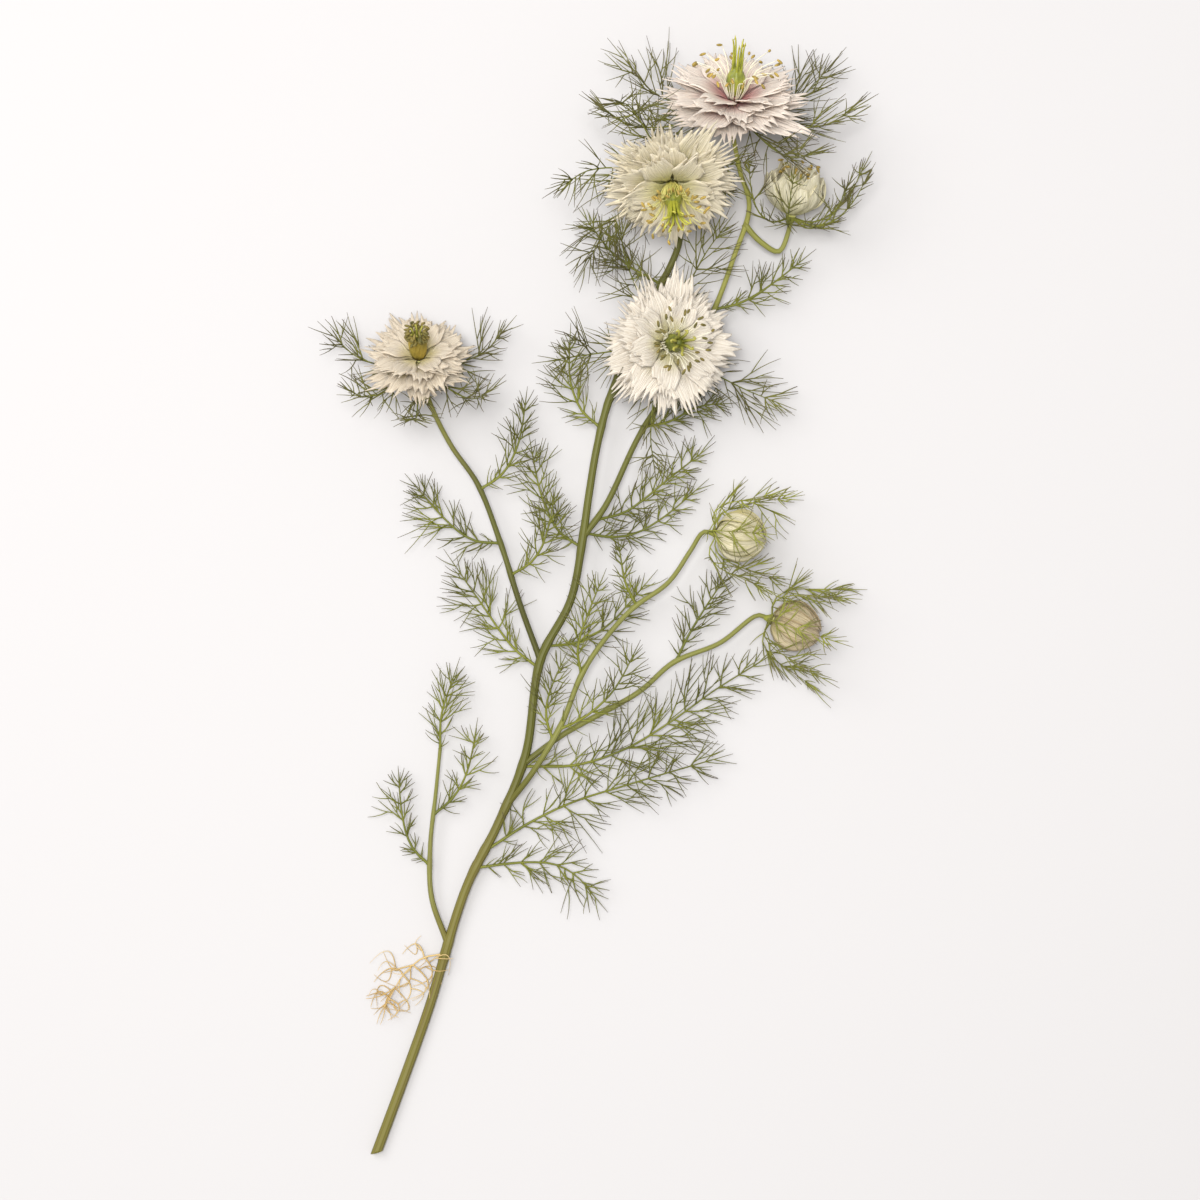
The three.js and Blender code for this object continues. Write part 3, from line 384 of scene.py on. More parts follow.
def finish_sheet(node, bm, material):
    """A piece of thin sheets, with its wall half on each side of them."""
    wall = finish_piece(node, bm, [material]).modifiers.new("wall", "SOLIDIFY")
    wall.thickness = PETAL_WALL * MM
    wall.offset = 0


# ---- stem

HEAD_LEAD = 3.6  # last stretch of a stalk, straight along the axis of its head
STALK_STEP = 1.5
PLACES_A_STALK = 240
CUT_AT = 2  # along the stem from its first place
RIND = 0.3


def led_into(head):
    """The last places of a stalk, on the axis of its head."""
    return [Vector(head["seat"]) - facing(head) * gap for gap in (HEAD_LEAD, SEAM)] if head else []


STALKS = [
    (SmoothLine(course + led_into(head)), radii, finish) for head, radii, finish, course in STALK_COURSES
]
STEM_PLACES = [
    (line.at(i / PLACES_A_STALK), mix(*radii, i / PLACES_A_STALK))
    for line, radii, _ in STALKS
    for i in range(PLACES_A_STALK + 1)
]


def nearest_on_stem(point):
    """The nearest place on the stem's middle lines, with the stem's radius there."""
    return min(STEM_PLACES, key=lambda place: (place[0] - point).length - place[1])


LEAF_ROOTS = [nearest_on_stem(Vector(course[0]))[0] for _, _, _, course in LEAVES]
FORKS = [line.at(0) for line, _, _ in STALKS[1:]]


def slanted_cut(bm):
    """Takes the foot of the stem off on the slant, and closes it with a rind around pith."""
    first, second = STALKS[0][0].places[:2]
    heading = (second - first).to_2d().to_3d().normalized()
    cut = bmesh.ops.bisect_plane(
        bm, geom=bm.verts[:] + bm.edges[:] + bm.faces[:], dist=TOUCHING, clear_inner=True,
        plane_co=(first + heading * CUT_AT) * MM, plane_no=turned(heading, UP, CUT_SLANT))
    rim = [edge for edge in cut["geom_cut"] if isinstance(edge, bmesh.types.BMEdge)]
    pith = bmesh.ops.contextual_create(bm, geom=rim)["faces"]
    rind = bmesh.ops.inset_individual(bm, faces=pith, thickness=RIND * MM, depth=0)["faces"]
    finish_faces(rind, False, MATURE)
    finish_faces(pith, False, CUT_FACE)
    bmesh.ops.recalc_face_normals(bm, faces=bm.faces[:])


def stem_mesh():
    """Round stalks that thicken where a leaf or another stalk leaves them, with a slanted cut."""
    growth = Growth()
    for line, radii, finish in STALKS:
        count = round(line.length / STALK_STEP)
        places = line.evenly(count + 1)
        widths = []
        for i, place in enumerate(places):
            gap = min((place - node).length for node in LEAF_ROOTS + FORKS)
            swell = NODE_SWELL * exp(-((gap / NODE_REACH) ** 2))
            widths.append(mix(*radii, i / count) * (1 + swell))
        growth.add(places, widths, finish, fineness=4)
    bm = growth.into(bmesh.new())
    slanted_cut(bm)
    return bm


# ---- threads and leaves
# In what follows "draw" repeats the draws of the solids, and "extra" is for what only shows here.

THREAD_LEAN = radians(38)  # between a rib and its side branches
LEAN_SPREAD = radians(9)
THREAD_LIFT = (-0.12, 0.34)  # pairs dip and rise by turns
SWELL = (0.2, 0.86)  # the part of a half wave that the branches' lengths follow
LAST_PAIR_AT = 0.9
PAIR_REACH = (0.85, 1.1)
FINE_REACH = (0.85, 1.5)  # the fine threads' reach, over that of the solids' blunt ones
# Single threads, between the pairs and at a leaf's foot: how they lean, lift and reach.
BETWEEN = {"lean": (0.45, 1.3), "lift": (-0.6, 1), "reach": (0.6, 1.2)}
BETWEEN_FROM = 0.2  # of the bare share
BETWEEN_TO = 0.97
AT_FOOT = {"lean": (0.5, 1.6), "lift": (-0.3, 0.9), "reach": (0.35, 0.85)}
FOOT_THREADS = 5
FOOT_PLACE = (0.005, 0.09)
END_AT = 0.97
END_FORK = ((-0.5, 0.55), (0, 0.8), (0.4, 0.6))  # how far each prong points aside, and its reach
END_REACH = (0.8, 1.2)

RIB_NODE = 1.1
RIB_STEP = 3
FEWEST_STEPS = 8
RIB_RADIUS = (0.46, 0.2)
SHEATH = 1.5  # how much broader a rib is where it leaves the stem
BRANCH_RADIUS = (0.25, 0.08)
SPRIG_RADIUS = (0.18, 0.06)
SPRIG_LEAN = (radians(11), radians(31))
SPRIG_LIFT = (-0.3, 0.4)
SPRIG_REACH = (0.75, 1.25)
SPRIG_PITCH = 5.2  # between the finer threads of a branch
SPRIG_PLACE = (0.1, 0.9)  # where in its own stretch each leaves
SPLIT_AT = ((0.04, 0.52), (0.12, 0.4))  # where they leave a branch, and a thread of one
SPLIT_LENGTH = (3, 7)  # shortest branch that splits, and shortest thread that does
THREAD_PLACES = (6, 5, 4)  # of a branch, of a thread that leaves it, and of the finest ones
CURLED_PLACES = 5  # more places, where threads curl
CURL_DRIFT = ((-1, 1), (-1, 1), (-0.4, 1))
BOW = (-0.2, 0.68)  # how much a branch sets off wide and bends forward
LEAF_STEPS = 5
LEAF_SEED, BLOOM_SEEDS, HALF_OPEN_SEED, BUD_SEED = 101, 11, 71, 81
EXTRA_SEED = 5000
# How a rib is clad: its bare share below the branches, how far single threads stand off its plane, the
# grade they start at, how stout it is and how much its threads curl.
FRESH_LEAF = {"bare": 0.16, "loose": 0.6}
DRY_LEAF = {"bare": 0.16, "loose": 0.6, "grade": 1, "weight": 0.6, "curl": 1.5}
BRACT = {"bare": 0.3, "loose": 1.1, "grade": 1}


def bent_places(root, heading, forward, length, count, bow):
    """A branch that sets off wide of its heading, bends towards "forward" and lands softly."""
    bend = (forward - heading * forward.dot(heading)) * bow
    tip = root + heading * length
    lift = landed(tip) - tip
    places = []
    for i in range(count):
        share = i / (count - 1)
        place = root + (heading * share + bend * (share * share - share)) * length + lift * share * share
        if i:
            place.z = max(place.z, REST_HEIGHT)
        places.append(place)
    return places


def tapering(radii, count, power=1.4):
    return [mix(*radii, (i / (count - 1)) ** power) for i in range(count)]


def branch(growth, root, heading, forward, hinge, length, draw, grade=0, curl=0):
    """A thread that splits into finer ones on its two sides, whose ends all point forward."""
    count = THREAD_PLACES[grade] + (CURLED_PLACES if curl else 0)
    if curl:
        forward = forward + Vector([draw(*span) for span in CURL_DRIFT]) * curl
    places = bent_places(root, heading, forward, length, count, draw(*BOW) + curl)
    growth.add(places, tapering(SPRIG_RADIUS if grade else BRANCH_RADIUS, count))
    if grade == len(SPLIT_LENGTH) or length < SPLIT_LENGTH[grade]:
        return
    sprigs = 1 if grade else max(2, round(length / SPRIG_PITCH))
    side = 1 if draw(0, 1) > 0.5 else -1
    for i in range(sprigs):
        share = draw(*SPLIT_AT[1]) if grade else mix(*SPLIT_AT[0], (i + draw(*SPRIG_PLACE)) / sprigs)
        spot = share * (count - 1)
        low = min(int(spot), count - 2)
        start = places[low].lerp(places[low + 1], spot - low)
        along = (places[low + 1] - places[low]).normalized()
        direction = turned(along, hinge, draw(*SPRIG_LEAN) * side) + hinge * draw(*SPRIG_LIFT)
        reach = length * (1 - share) * draw(*SPRIG_REACH)
        branch(growth, start, direction.normalized(), along, hinge, reach, draw, grade + 1, curl)
        side = -side


def set_off(rib_part, lean, side, lift):
    """The heading of a branch that leaves a rib."""
    _, along, top, right = rib_part
    return (along * cos(lean) + right * (side * sin(lean)) + top * lift).normalized()


def single_thread(growth, rib_part, number, manner, reach, extra, grade, loose=1, curl=0):
    lean = THREAD_LEAN * extra(*manner["lean"])
    heading = set_off(rib_part, lean, 1 if number % 2 else -1, extra(*manner["lift"]) * loose)
    start, along, top, _ = rib_part
    branch(growth, start, heading, along, top, reach * extra(*manner["reach"]), extra, grade, curl)


def rib(growth, root, line, over, pairs, between, reach, draw, extra, bare, loose, grade=0, weight=1,
        curl=0):
    """A rib from its root, with pairs of branches, longest a little below the middle, single threads
    between them, and a fork for its end."""
    count = max(FEWEST_STEPS, round(line.length / RIB_STEP))
    radii = [RIB_RADIUS[0] * SHEATH, *(mix(*RIB_RADIUS, i / count) for i in range(count + 1))]
    growth.add([root] + line.evenly(count + 1), [radius * weight for radius in radii], 1, fineness=1)
    node_share = RIB_NODE / line.length
    for i in range(pairs):
        share = mix(bare, LAST_PAIR_AT, i / (pairs - 1))
        swell = sin(pi * mix(*SWELL, share))
        start = line.at(share + node_share / 2)
        rib_part = rib_frame(line, share + node_share, over)
        for side in (1, -1):
            lean = THREAD_LEAN + draw(-LEAN_SPREAD, LEAN_SPREAD)
            heading = set_off(rib_part, lean, side, THREAD_LIFT[i % 2])
            length = reach * swell * draw(*PAIR_REACH) * extra(*FINE_REACH)
            branch(growth, start, heading, rib_part[1], rib_part[2], length, extra, curl=curl)
    for i in range(between):
        share = mix(bare * BETWEEN_FROM, BETWEEN_TO, (i + 0.5) / between)
        swell = sin(pi * mix(*SWELL, share))
        rib_part = rib_frame(line, share, over)
        single_thread(growth, rib_part, i, BETWEEN, reach * swell, extra, grade, loose, curl)
    _, along, top, right = rib_frame(line, 1 - line.NEARBY, over)
    for side, share in END_FORK:
        heading = (along + right * side).normalized()
        length = reach * share * extra(*END_REACH)
        branch(growth, line.at(END_AT), heading, along, top, length, extra, 1, curl)


def leaf_mesh(index):
    """A leaf from the stem's middle line, along the line that its solid follows."""
    name, pairs, reach, course = LEAVES[index]
    root, radius = nearest_on_stem(Vector(course[0]))
    on_end = name == "tuft_side_shoot"
    whole = SmoothLine([Vector(course[0]) if on_end else root, *course[1:]])
    first = (SEAM if on_end else radius + SEAM + RIB_RADIUS[0]) / whole.length
    line = SmoothLine([landed(whole.at(mix(first, 1, i / LEAF_STEPS))) for i in range(LEAF_STEPS + 1)])
    growth = Growth()
    draw, extra = Draws(LEAF_SEED + index), Draws(EXTRA_SEED + index)
    dry = name == "dry_threads"
    rib(growth, root, line, UP, pairs, pairs - 1, reach, draw, extra, **(DRY_LEAF if dry else FRESH_LEAF))
    for i in range(0 if dry else FOOT_THREADS):
        rib_part = rib_frame(line, extra(*FOOT_PLACE), UP)
        single_thread(growth, rib_part, i, AT_FOOT, reach, extra, grade=1)
    return growth.into(bmesh.new())


# ---- bracts

BLOOM_RIB = [(HUB_RADIUS, 0.5), (9, -0.7), (18, -2), (BRACT_REACH * 0.8, 0), (BRACT_REACH, 6)]
CUP_RIB = [(HUB_RADIUS, 0.5), (8, -0.4), (15, 3), (20, 10), (23, 18)]
BUD_RIB = [(HUB_RADIUS, 0.5), (6.5, -0.2), (11, 4), (13.5, 11), (16, 19)]
# Reach of the threads, height of the petals' foot, single threads of each bract, and weight of its rib.
BLOOM_COLLAR = (12, 5.9, 14, 0.7)
CUP_COLLAR = (8, 3.6, 12, 0.7)
BUD_COLLAR = (10, 2.4, 8, 0.5)
BRACT_ROOT = (0.4, 0.5)  # radius and height in the hub
BRACT_PAIRS = 3
BRACT_SWAY = 0.06
BRACT_STRETCH = (0.88, 1.08)
HUB_OUTLINE = [(-1.6, 0.72), (-0.6, 1.05), (0.3, 1.7), (HUB_HEIGHT, 1.75)]  # height and radius
CORE_RADIUS = (1.5, 1.4)  # of the petals' foot, and at its top


def round_part(growth, seat, outline, material):
    """A round part on the axis of a head, from heights and radii."""
    places = [seat @ around(0, 0, height) for height, _ in outline]
    growth.add(places, [radius for _, radius in outline], material, fineness=3)


def bracts_mesh(spec, seed, course, collar, size=1):
    """Five bracts, each cut into threads, around the swollen top of the stalk."""
    reach, core, between, weight = collar
    seat = seat_of(spec)
    over = (seat.to_3x3() @ UP).normalized()
    growth = Growth()
    low, top = CORE_RADIUS
    round_part(growth, seat, HUB_OUTLINE, 1)
    round_part(growth, seat, [(HUB_HEIGHT * 0.8, low), (core * 0.5, low), (core, top)], 2)
    draw, extra = Draws(seed), Draws(EXTRA_SEED + seed)
    for i, direction in enumerate(spec["bracts"]):
        azimuth = radians(direction) + draw(-BRACT_SWAY, BRACT_SWAY)
        crowded = i in spec.get("short", ())
        share = SHORT_BRACT if crowded else 1
        stretch = draw(*BRACT_STRETCH) * share
        places = []
        for radius, height in course:
            radius *= size if radius > HUB_RADIUS else 1
            sagged = SHORT_BRACT_SAG * (HUB_RADIUS - radius) if crowded else height
            places.append(landed(seat @ around(azimuth, radius * stretch, sagged)))
        root = seat @ around(azimuth, *BRACT_ROOT)
        rib(growth, root, SmoothLine(places), over, BRACT_PAIRS, between, reach * size * share, draw, extra,
            weight=weight, **BRACT)
    return growth.into(bmesh.new())


# ---- petals

BLADE_ROWS = 8
TOOTH_ROWS = 5
ROWS = BLADE_ROWS + TOOTH_ROWS
COLUMNS_A_TOOTH = 2
WHOLE_COLUMNS = 6  # of a petal with a single point
TIP_FALL = 0.26  # how much shorter a petal is at its sides than at its middle
FOOT_WIDTH = 0.17  # share of its width at its root
WIDENING = (0.04, 0.5)  # where along it a petal grows wide
END_NARROWING = 0.3
NARROWING = (0.5, 1)
TOOTH_REACH = (0.84, 1.1)
WHOLE_REACH = 1.04
TOOTH_SLIMMING = 0.95
WHOLE_SLIMMING = 0.75
TOOTH_FAN = 0.08  # how much further apart the teeth are at their tips
TOOTH_SWAY = 0.07
TOOTH_CURL = (-0.6, 0.9)
NOTCH_CREST = 0.04  # how much further out a tooth starts in its middle
PLEATING = (0.05, 0.4)  # where its pleats grow up
RIPPLING = (0.15, 0.6)
RIPPLE = (0.25, 0.6)
RIPPLES = (5, 3)  # along and across
PETAL_SWAY = 0.05  # of its direction, as in the solids
PETAL_TWIST = 0.1
# How a petal strays from that, and how a narrow one differs from the petal beside it.
STRAY = {"length": (0.9, 1.05), "azimuth": (-0.09, 0.09), "rise": (-3, 3)}
NARROW = {"length": (0.8, 0.95), "azimuth": (-0.12, 0.12), "rise": (2, 6), "twist": (-0.35, 0.35)}
SLACK = 0.01  # in finding a line of the grid
HAIR = 1e-4  # in telling whether two corners stand one over the other


def blade_place(blade, along, across, raised):
    """Where a petal lies: it leaves its root at "rise", bends by "curl", and is cupped and twisted."""
    rise, curl, azimuth, length = (blade[name] for name in ("rise", "curl", "azimuth", "length"))
    steep = rise + curl * along
    lift = (cos(rise) - cos(steep)) / curl
    out = (sin(steep) - sin(rise)) / curl
    bulge = blade["cup"] * (across / blade["width"]) ** 2 * 4 + blade["twist"] * across + raised
    radius = blade["root"] + length * out - sin(steep) * bulge
    middle = around(azimuth, radius, blade["height"] + length * lift + cos(steep) * bulge)
    return middle + Vector((sin(azimuth), -cos(azimuth), 0)) * across


def slit_grid(bm, teeth):
    """A flat sheet, slit between its teeth: each corner's place across, its row and its tooth."""
    columns = WHOLE_COLUMNS if teeth == 1 else COLUMNS_A_TOOTH * teeth
    grid = bmesh.ops.create_grid(bm, x_segments=columns, y_segments=ROWS, size=0.5, calc_uvs=True)
    faces = linked(grid["verts"], "link_faces")
    slits = []
    for edge in linked(grid["verts"], "link_edges"):
        a, b = (vert.co for vert in edge.verts)
        column = (a.x + 0.5) * teeth
        between = abs(column - round(column)) < SLACK and abs(a.x) < 0.5 - SLACK
        upright = abs(a.x - b.x) < HAIR
        if between and upright and min(a.y, b.y) + 0.5 > BLADE_ROWS / ROWS - SLACK:
            slits.append(edge)
    if slits:
        bmesh.ops.split_edges(bm, edges=slits)
    corners = {}
    for face in faces:
        tooth = min(int((face.calc_center_median().x + 0.5) * teeth), teeth - 1)
        for vert in face.verts:
            if vert not in corners or vert.co.y + 0.5 > BLADE_ROWS / ROWS:
                corners[vert] = (vert.co.x, (vert.co.y + 0.5) * ROWS, tooth)
    return corners


def side_fall(across):
    return 1 - TIP_FALL * (2 * across) ** 2


def petal(bm, seat, blade, teeth, draw):
    """A pleated petal: a grid that is slit between its teeth, and laid along the blade's bend."""
    corners = slit_grid(bm, teeth)
    middles = [(k + 0.5) / teeth - 0.5 for k in range(teeth)]
    notch = [draw(*blade["notch"]) + blade["whole"] for _ in range(teeth + 1)]
    tips = [WHOLE_REACH] if teeth == 1 else [side_fall(middle) * draw(*TOOTH_REACH) for middle in middles]
    sways = [draw(-TOOTH_SWAY, TOOTH_SWAY) for _ in range(teeth)]
    curls = [draw(*TOOTH_CURL) for _ in range(teeth)]
    wave = draw(0, 2 * pi)
    ripple = draw(*RIPPLE)
    for vert, (u, row, tooth) in corners.items():
        column = (u + 0.5) * teeth
        left = min(int(column + HAIR), teeth - 1)
        crest = 1 - abs(2 * (column - left) - 1)
        start = (mix(notch[left], notch[left + 1], column - left) + NOTCH_CREST * crest) * side_fall(u)
        blade_share = min(row / BLADE_ROWS, 1)
        tooth_share = max(row - BLADE_ROWS, 0) / TOOTH_ROWS
        along = mix(start * blade_share**0.9, tips[tooth], tooth_share)
        gone = start * blade_share
        spread = mix(FOOT_WIDTH, 1, eased(*WIDENING, gone)) * (1 - END_NARROWING * eased(*NARROWING, gone))
        slim = (1 - tooth_share) ** (WHOLE_SLIMMING if teeth == 1 else TOOTH_SLIMMING)
        middle = middles[tooth] if tooth_share else u
        across = (middle * (1 + TOOTH_FAN * tooth_share) + (u - middle) * slim) * spread
        across = (across + sways[tooth] * tooth_share**2) * blade["width"]
        raised = blade["pleat"] * (2 * crest - 1) * eased(*PLEATING, along) * (1 - tooth_share)
        raised += ripple * sin(wave + RIPPLES[0] * along + RIPPLES[1] * u) * eased(*RIPPLING, along)
        raised += curls[tooth] * tooth_share**2
        place = seat @ blade_place(blade, along, across, raised)
        place.z = max(place.z, PETAL_WALL)
        vert.co = place * MM


def open_petal(layer, draw):
    """A petal of an open bloom, with what is given by layer from the outermost inwards."""
    return {
        "length": PETAL_LENGTH * (1, 1, 0.92, 0.7)[layer] * draw(0.92, 1.06),
        "width": PETAL_WIDTH * (1.12, 1.14, 1.08, 0.95)[layer],
        "rise": radians((6, 15, 24, 31)[layer] + draw(-2, 2)),
        "curl": radians(-(10, 15, 18, 22)[layer] + draw(-3, 3)),
        "cup": draw(0.3, 0.9),
        "between": (0.6, 0.8),
        "pleat": (0.3, 0.24, 0.18, 0.14)[layer],
        "whole": 0.035 * layer,
    }


def cupped_petal(layer, draw):
    """A petal that still stands up around its bloom's heart."""
    return {
        "length": CUPPED_LENGTH * draw(0.95, 1.04),
        "width": (12.6, 11)[layer],
        "rise": radians((18, 33)[layer]),
        "curl": radians((86, 72)[layer] + draw(-3, 3)),
        "cup": 0.9,
        "between": (0.8, 1),
        "pleat": 0.2,
        "whole": 0,
    }


def petals_mesh(spec, seed, layers, shape):
    """Petals in layers, each layer turned half a step, with narrower ones standing between."""
    seat = seat_of(spec)
    size = spec["size"]
    draw, extra = Draws(seed), Draws(EXTRA_SEED + seed)
    step = 2 * pi / PETALS_A_LAYER
    bm = mapped_mesh()
    for layer in range(layers):
        height = PETAL_BASE + LAYER_PITCH * layer + LAYER_HEIGHT / 2
        for i in range(PETALS_A_LAYER):
            blade = shape(layer, draw)
            blade["length"] *= size * extra(*STRAY["length"])
            blade["width"] *= size
            sway = draw(-PETAL_SWAY, PETAL_SWAY) + extra(*STRAY["azimuth"])
            blade["azimuth"] = step / 2 * layer + step * i + sway
            blade["rise"] += radians(extra(*STRAY["rise"]))
            blade["twist"] = draw(-PETAL_TWIST, PETAL_TWIST)
            blade |= {"root": HUB_RADIUS * cos(step / 2), "height": height, "notch": spec["notch"]}
            petal(bm, seat, blade, spec["teeth"][layer], extra)
            if layer >= NARROW_LAYERS:
                continue
            narrow = dict(blade)
            narrow["length"] *= extra(*NARROW["length"])
            narrow["width"] *= extra(*blade["between"])
            narrow["azimuth"] += step / 2 + extra(*NARROW["azimuth"])
            narrow["rise"] += radians(extra(*NARROW["rise"]))
            narrow["twist"] = extra(*NARROW["twist"])
            narrow["height"] += NARROW_OVER
            petal(bm, seat, narrow, max(spec["teeth"][layer] - 2, 1), extra)
    bmesh.ops.remove_doubles(bm, verts=bm.verts[:], dist=TOUCHING)
    bmesh.ops.dissolve_degenerate(bm, dist=TOUCHING / 10, edges=bm.edges[:])
    finish_faces(bm.faces, True, 0)
    return bm


# ---- stamens and pistil

STAMEN_PAIR = ((1, 0.62, 0.3), (-1, 0.76, 0.6))  # side, rise, and start over the disc's foot
STAMEN_APART = 0.24
OUTER_REACH = (0.72, 1.08)
OUTER_TRIM = (0.7, 1)
OUTER_LIFT = (0.95, 1.08)
INNER_START = 0.6
INNER_REACH = (0.35, 0.7)
INNER_RISE = (0.45, 0.7)
DISC_OUTLINE = [(-1.7, 0.9), (-1.3, 1.5), (0.1, STAMEN_DISC[0]), (0.7, STAMEN_DISC[0]), (0.95, 1.3)]
BURIED = 0.9  # how deep a stamen's root lies in the disc
DISC_RIM = 0.05
KNEE_CLEAR = 0.1  # a knee is at least this further out than the belly below it
BELLY_HEIGHT = 0.5  # most that it has of the knee's height
END_SWAY = 0.1
ANTHER_STRETCH = (0.85, 1.1)
BELLY_AT = 0.45  # the filament's places, as shares of the way to its knee
KNEE_UPRIGHT = 0.7
KNEE_OPEN = 0.35
KNEE_HEIGHT = 0.75
OVARY_GAP = 0.4  # between a stamen and the ovary's broadest part
OVARY_BROADEST = 0.36
FILAMENT_RADIUS = (0.2, 0.11)
FILAMENT_PLACES = 8
ANTHER_RADII = (0.55, 0.45)
ANTHER_NOD = (0.85, 0.3)  # outwards and down, as shares of its length
ANTHER_TILT = 0.5
ANTHER_SET = 0.36  # where on the anther the filament ends

OVARY_OUTLINE = [  # height and radius
    (0, 0), (0, 0.6), (0.16, 0.86), (0.32, 1), (0.52, 1), (0.7, 0.92), (0.84, 0.76), (0.95, 0.58),
    (1.06, 0.4), (1.12, 0),
]
OVARY_STEPS = 36
OVARY_RIBS = 6
RIB_DEPTH = 0.09
SAME_SPOT = 1e-4  # of the ovary's corners, before they are metres
# Places of a style: radius and height of the ovary's, and then outwards and up as shares of its length.
STYLE_BURIED = (0.4, 0.7)
STYLE_ROOT = (0.46, 0.97)
STYLE_BEND = (0.16, 0.62)
STYLE_TIP = (0.36, 0.2)
STYLE_CURL = (0.3, 0.1)
STYLE_SWING = 0.5  # how far round its tip goes, and its curl after that
STYLE_STRETCH = (0.85, 1.1)
STYLE_RADIUS = (0.56, 0.2)
STYLE_PLACES = 12


def stamen_base(layers):
    return PETAL_BASE + LAYER_PITCH * (layers - 1) + LAYER_HEIGHT + SEAM


def anther(bm, place, direction, length):
    """A plump pod, set on the end of its stalk."""
    turn = direction.to_track_quat("Z", "X").to_matrix().to_4x4()
    shape = Matrix.Diagonal((*[radius * MM for radius in ANTHER_RADII], length / 2 * MM, 1))
    matrix = Matrix.Translation(place * MM) @ turn @ shape
    pod = bmesh.ops.create_uvsphere(bm, u_segments=8, v_segments=5, radius=1, matrix=matrix)
    finish_faces(linked(pod["verts"], "link_faces"), True, 1)


def stamen(growth, bm, seat, azimuth, base, reach, rise, spread, size, extra):
    """A thin stalk that clears the ovary and arches outwards, with its anther."""
    disc = STAMEN_DISC[0]
    knee_radius = disc + reach * mix(KNEE_UPRIGHT, KNEE_OPEN, spread)
    belly_radius = max(OVARY_RADIUS * size + OVARY_GAP, mix(disc, knee_radius, BELLY_AT))
    belly_height = min(OVARY_HEIGHT * size * OVARY_BROADEST, rise * KNEE_HEIGHT * BELLY_HEIGHT)
    root = seat @ around(azimuth, disc + DISC_RIM, base - BURIED)
    belly = seat @ around(azimuth, belly_radius, base + belly_height)
    knee = seat @ around(azimuth, max(knee_radius, belly_radius + KNEE_CLEAR), base + rise * KNEE_HEIGHT)
    end = seat @ around(azimuth + extra(-END_SWAY, END_SWAY), disc + reach, base + rise)
    out, down = (ANTHER_LENGTH * share for share in ANTHER_NOD)
    tip = seat @ around(azimuth, disc + reach + out, base + rise - down)
    line = SmoothLine([root, belly, knee, end])
    growth.add(line.evenly(FILAMENT_PLACES), tapering(FILAMENT_RADIUS, FILAMENT_PLACES))
    tilt = Vector([extra(-ANTHER_TILT, ANTHER_TILT) for _ in range(3)])
    direction = ((tip - end).normalized() + tilt).normalized()
    length = ANTHER_LENGTH * extra(*ANTHER_STRETCH)
    anther(bm, end + direction * ANTHER_LENGTH * ANTHER_SET, direction, length)


def stamens_mesh(spec, seed, layers):
    """A ring of stamens on their disc, with a few shorter ones close to the pistil."""
    seat = seat_of(spec)
    size = spec["size"]
    spread, lift, rings = spec["stamens"]
    draw, extra = Draws(seed), Draws(EXTRA_SEED + seed)
    base = stamen_base(layers)
    growth = Growth()
    round_part(growth, seat, [(base + height, radius) for height, radius in DISC_OUTLINE], 2)
    pods = mapped_mesh()
    step = 2 * pi / STAMEN_SIDES
    for i in range(STAMEN_SIDES):
        for side, steep, start in STAMEN_PAIR:
            reach = STAMEN_REACH * size * spread * draw(*OUTER_REACH) * extra(*OUTER_TRIM)
            rise = STAMEN_REACH * size * steep * draw(*OUTER_LIFT) * lift
            azimuth = step * (i + side * STAMEN_APART)
            stamen(growth, pods, seat, azimuth, base + start, reach, rise, spread, size, extra)
        for ring in range(rings):
            reach = STAMEN_REACH * size * spread * extra(*INNER_REACH)
            rise = STAMEN_REACH * size * extra(*INNER_RISE) * lift
            azimuth = step * (i + 0.5 + ring / rings)
            stamen(growth, pods, seat, azimuth, base + INNER_START, reach, rise, spread, size, extra)
    return growth.into(pods)


def ovary(bm, seat, base, size):
    """Spun from its outline, and then pressed into ribs."""
    verts = [
        bm.verts.new((OVARY_RADIUS * radius * size, 0, OVARY_HEIGHT * height * size))
        for height, radius in OVARY_OUTLINE
    ]
    edges = [bm.edges.new(pair) for pair in zip(verts, verts[1:])]
    bmesh.ops.spin(
        bm, geom=verts + edges, cent=(0, 0, 0), axis=UP, angle=2 * pi, steps=OVARY_STEPS, use_merge=True)
    bmesh.ops.remove_doubles(bm, verts=bm.verts[:], dist=SAME_SPOT)
    bmesh.ops.recalc_face_normals(bm, faces=bm.faces[:])
    for vert in bm.verts:
        ribbed = 1 + RIB_DEPTH * cos(OVARY_RIBS * atan2(vert.co.y, vert.co.x))
        vert.co = (seat @ Vector((vert.co.x * ribbed, vert.co.y * ribbed, vert.co.z + base))) * MM


def pistil_mesh(spec, seed, layers, size):
    """A ribbed ovary with styles that wind and curl at their ends."""
    seat = seat_of(spec)
    draw = Draws(seed)
    base = stamen_base(layers) + STAMEN_DISC[1] + SEAM
    bm = mapped_mesh()
    ovary(bm, seat, base, size)
    growth = Growth()
    count, stretch, spread, thickness = spec["styles"]
    for i in range(count):
        azimuth = 2 * pi / count * i
        length = STYLE_LENGTH * size * draw(*STYLE_STRETCH) * stretch
        below, root = (
            around(azimuth, OVARY_RADIUS * out * size, base + OVARY_HEIGHT * up * size)
            for out, up in (STYLE_BURIED, STYLE_ROOT))
        swing = azimuth + draw(-STYLE_SWING, STYLE_SWING)
        out, up = STYLE_BEND
        bend = root + around(azimuth, length * out * spread, length * up)
        places = [below, root, bend]
        for turn, (out, up) in ((swing, STYLE_TIP), (swing + STYLE_SWING, STYLE_CURL)):
            places.append(bend + around(turn, length * out * spread, length * up))
        radii = [radius * size * thickness for radius in tapering(STYLE_RADIUS, STYLE_PLACES, power=0.8)]
        line = SmoothLine([seat @ place for place in places])
        growth.add(line.evenly(STYLE_PLACES), radii, material=1, fineness=1)
    return growth.into(bm)


# ---- buds

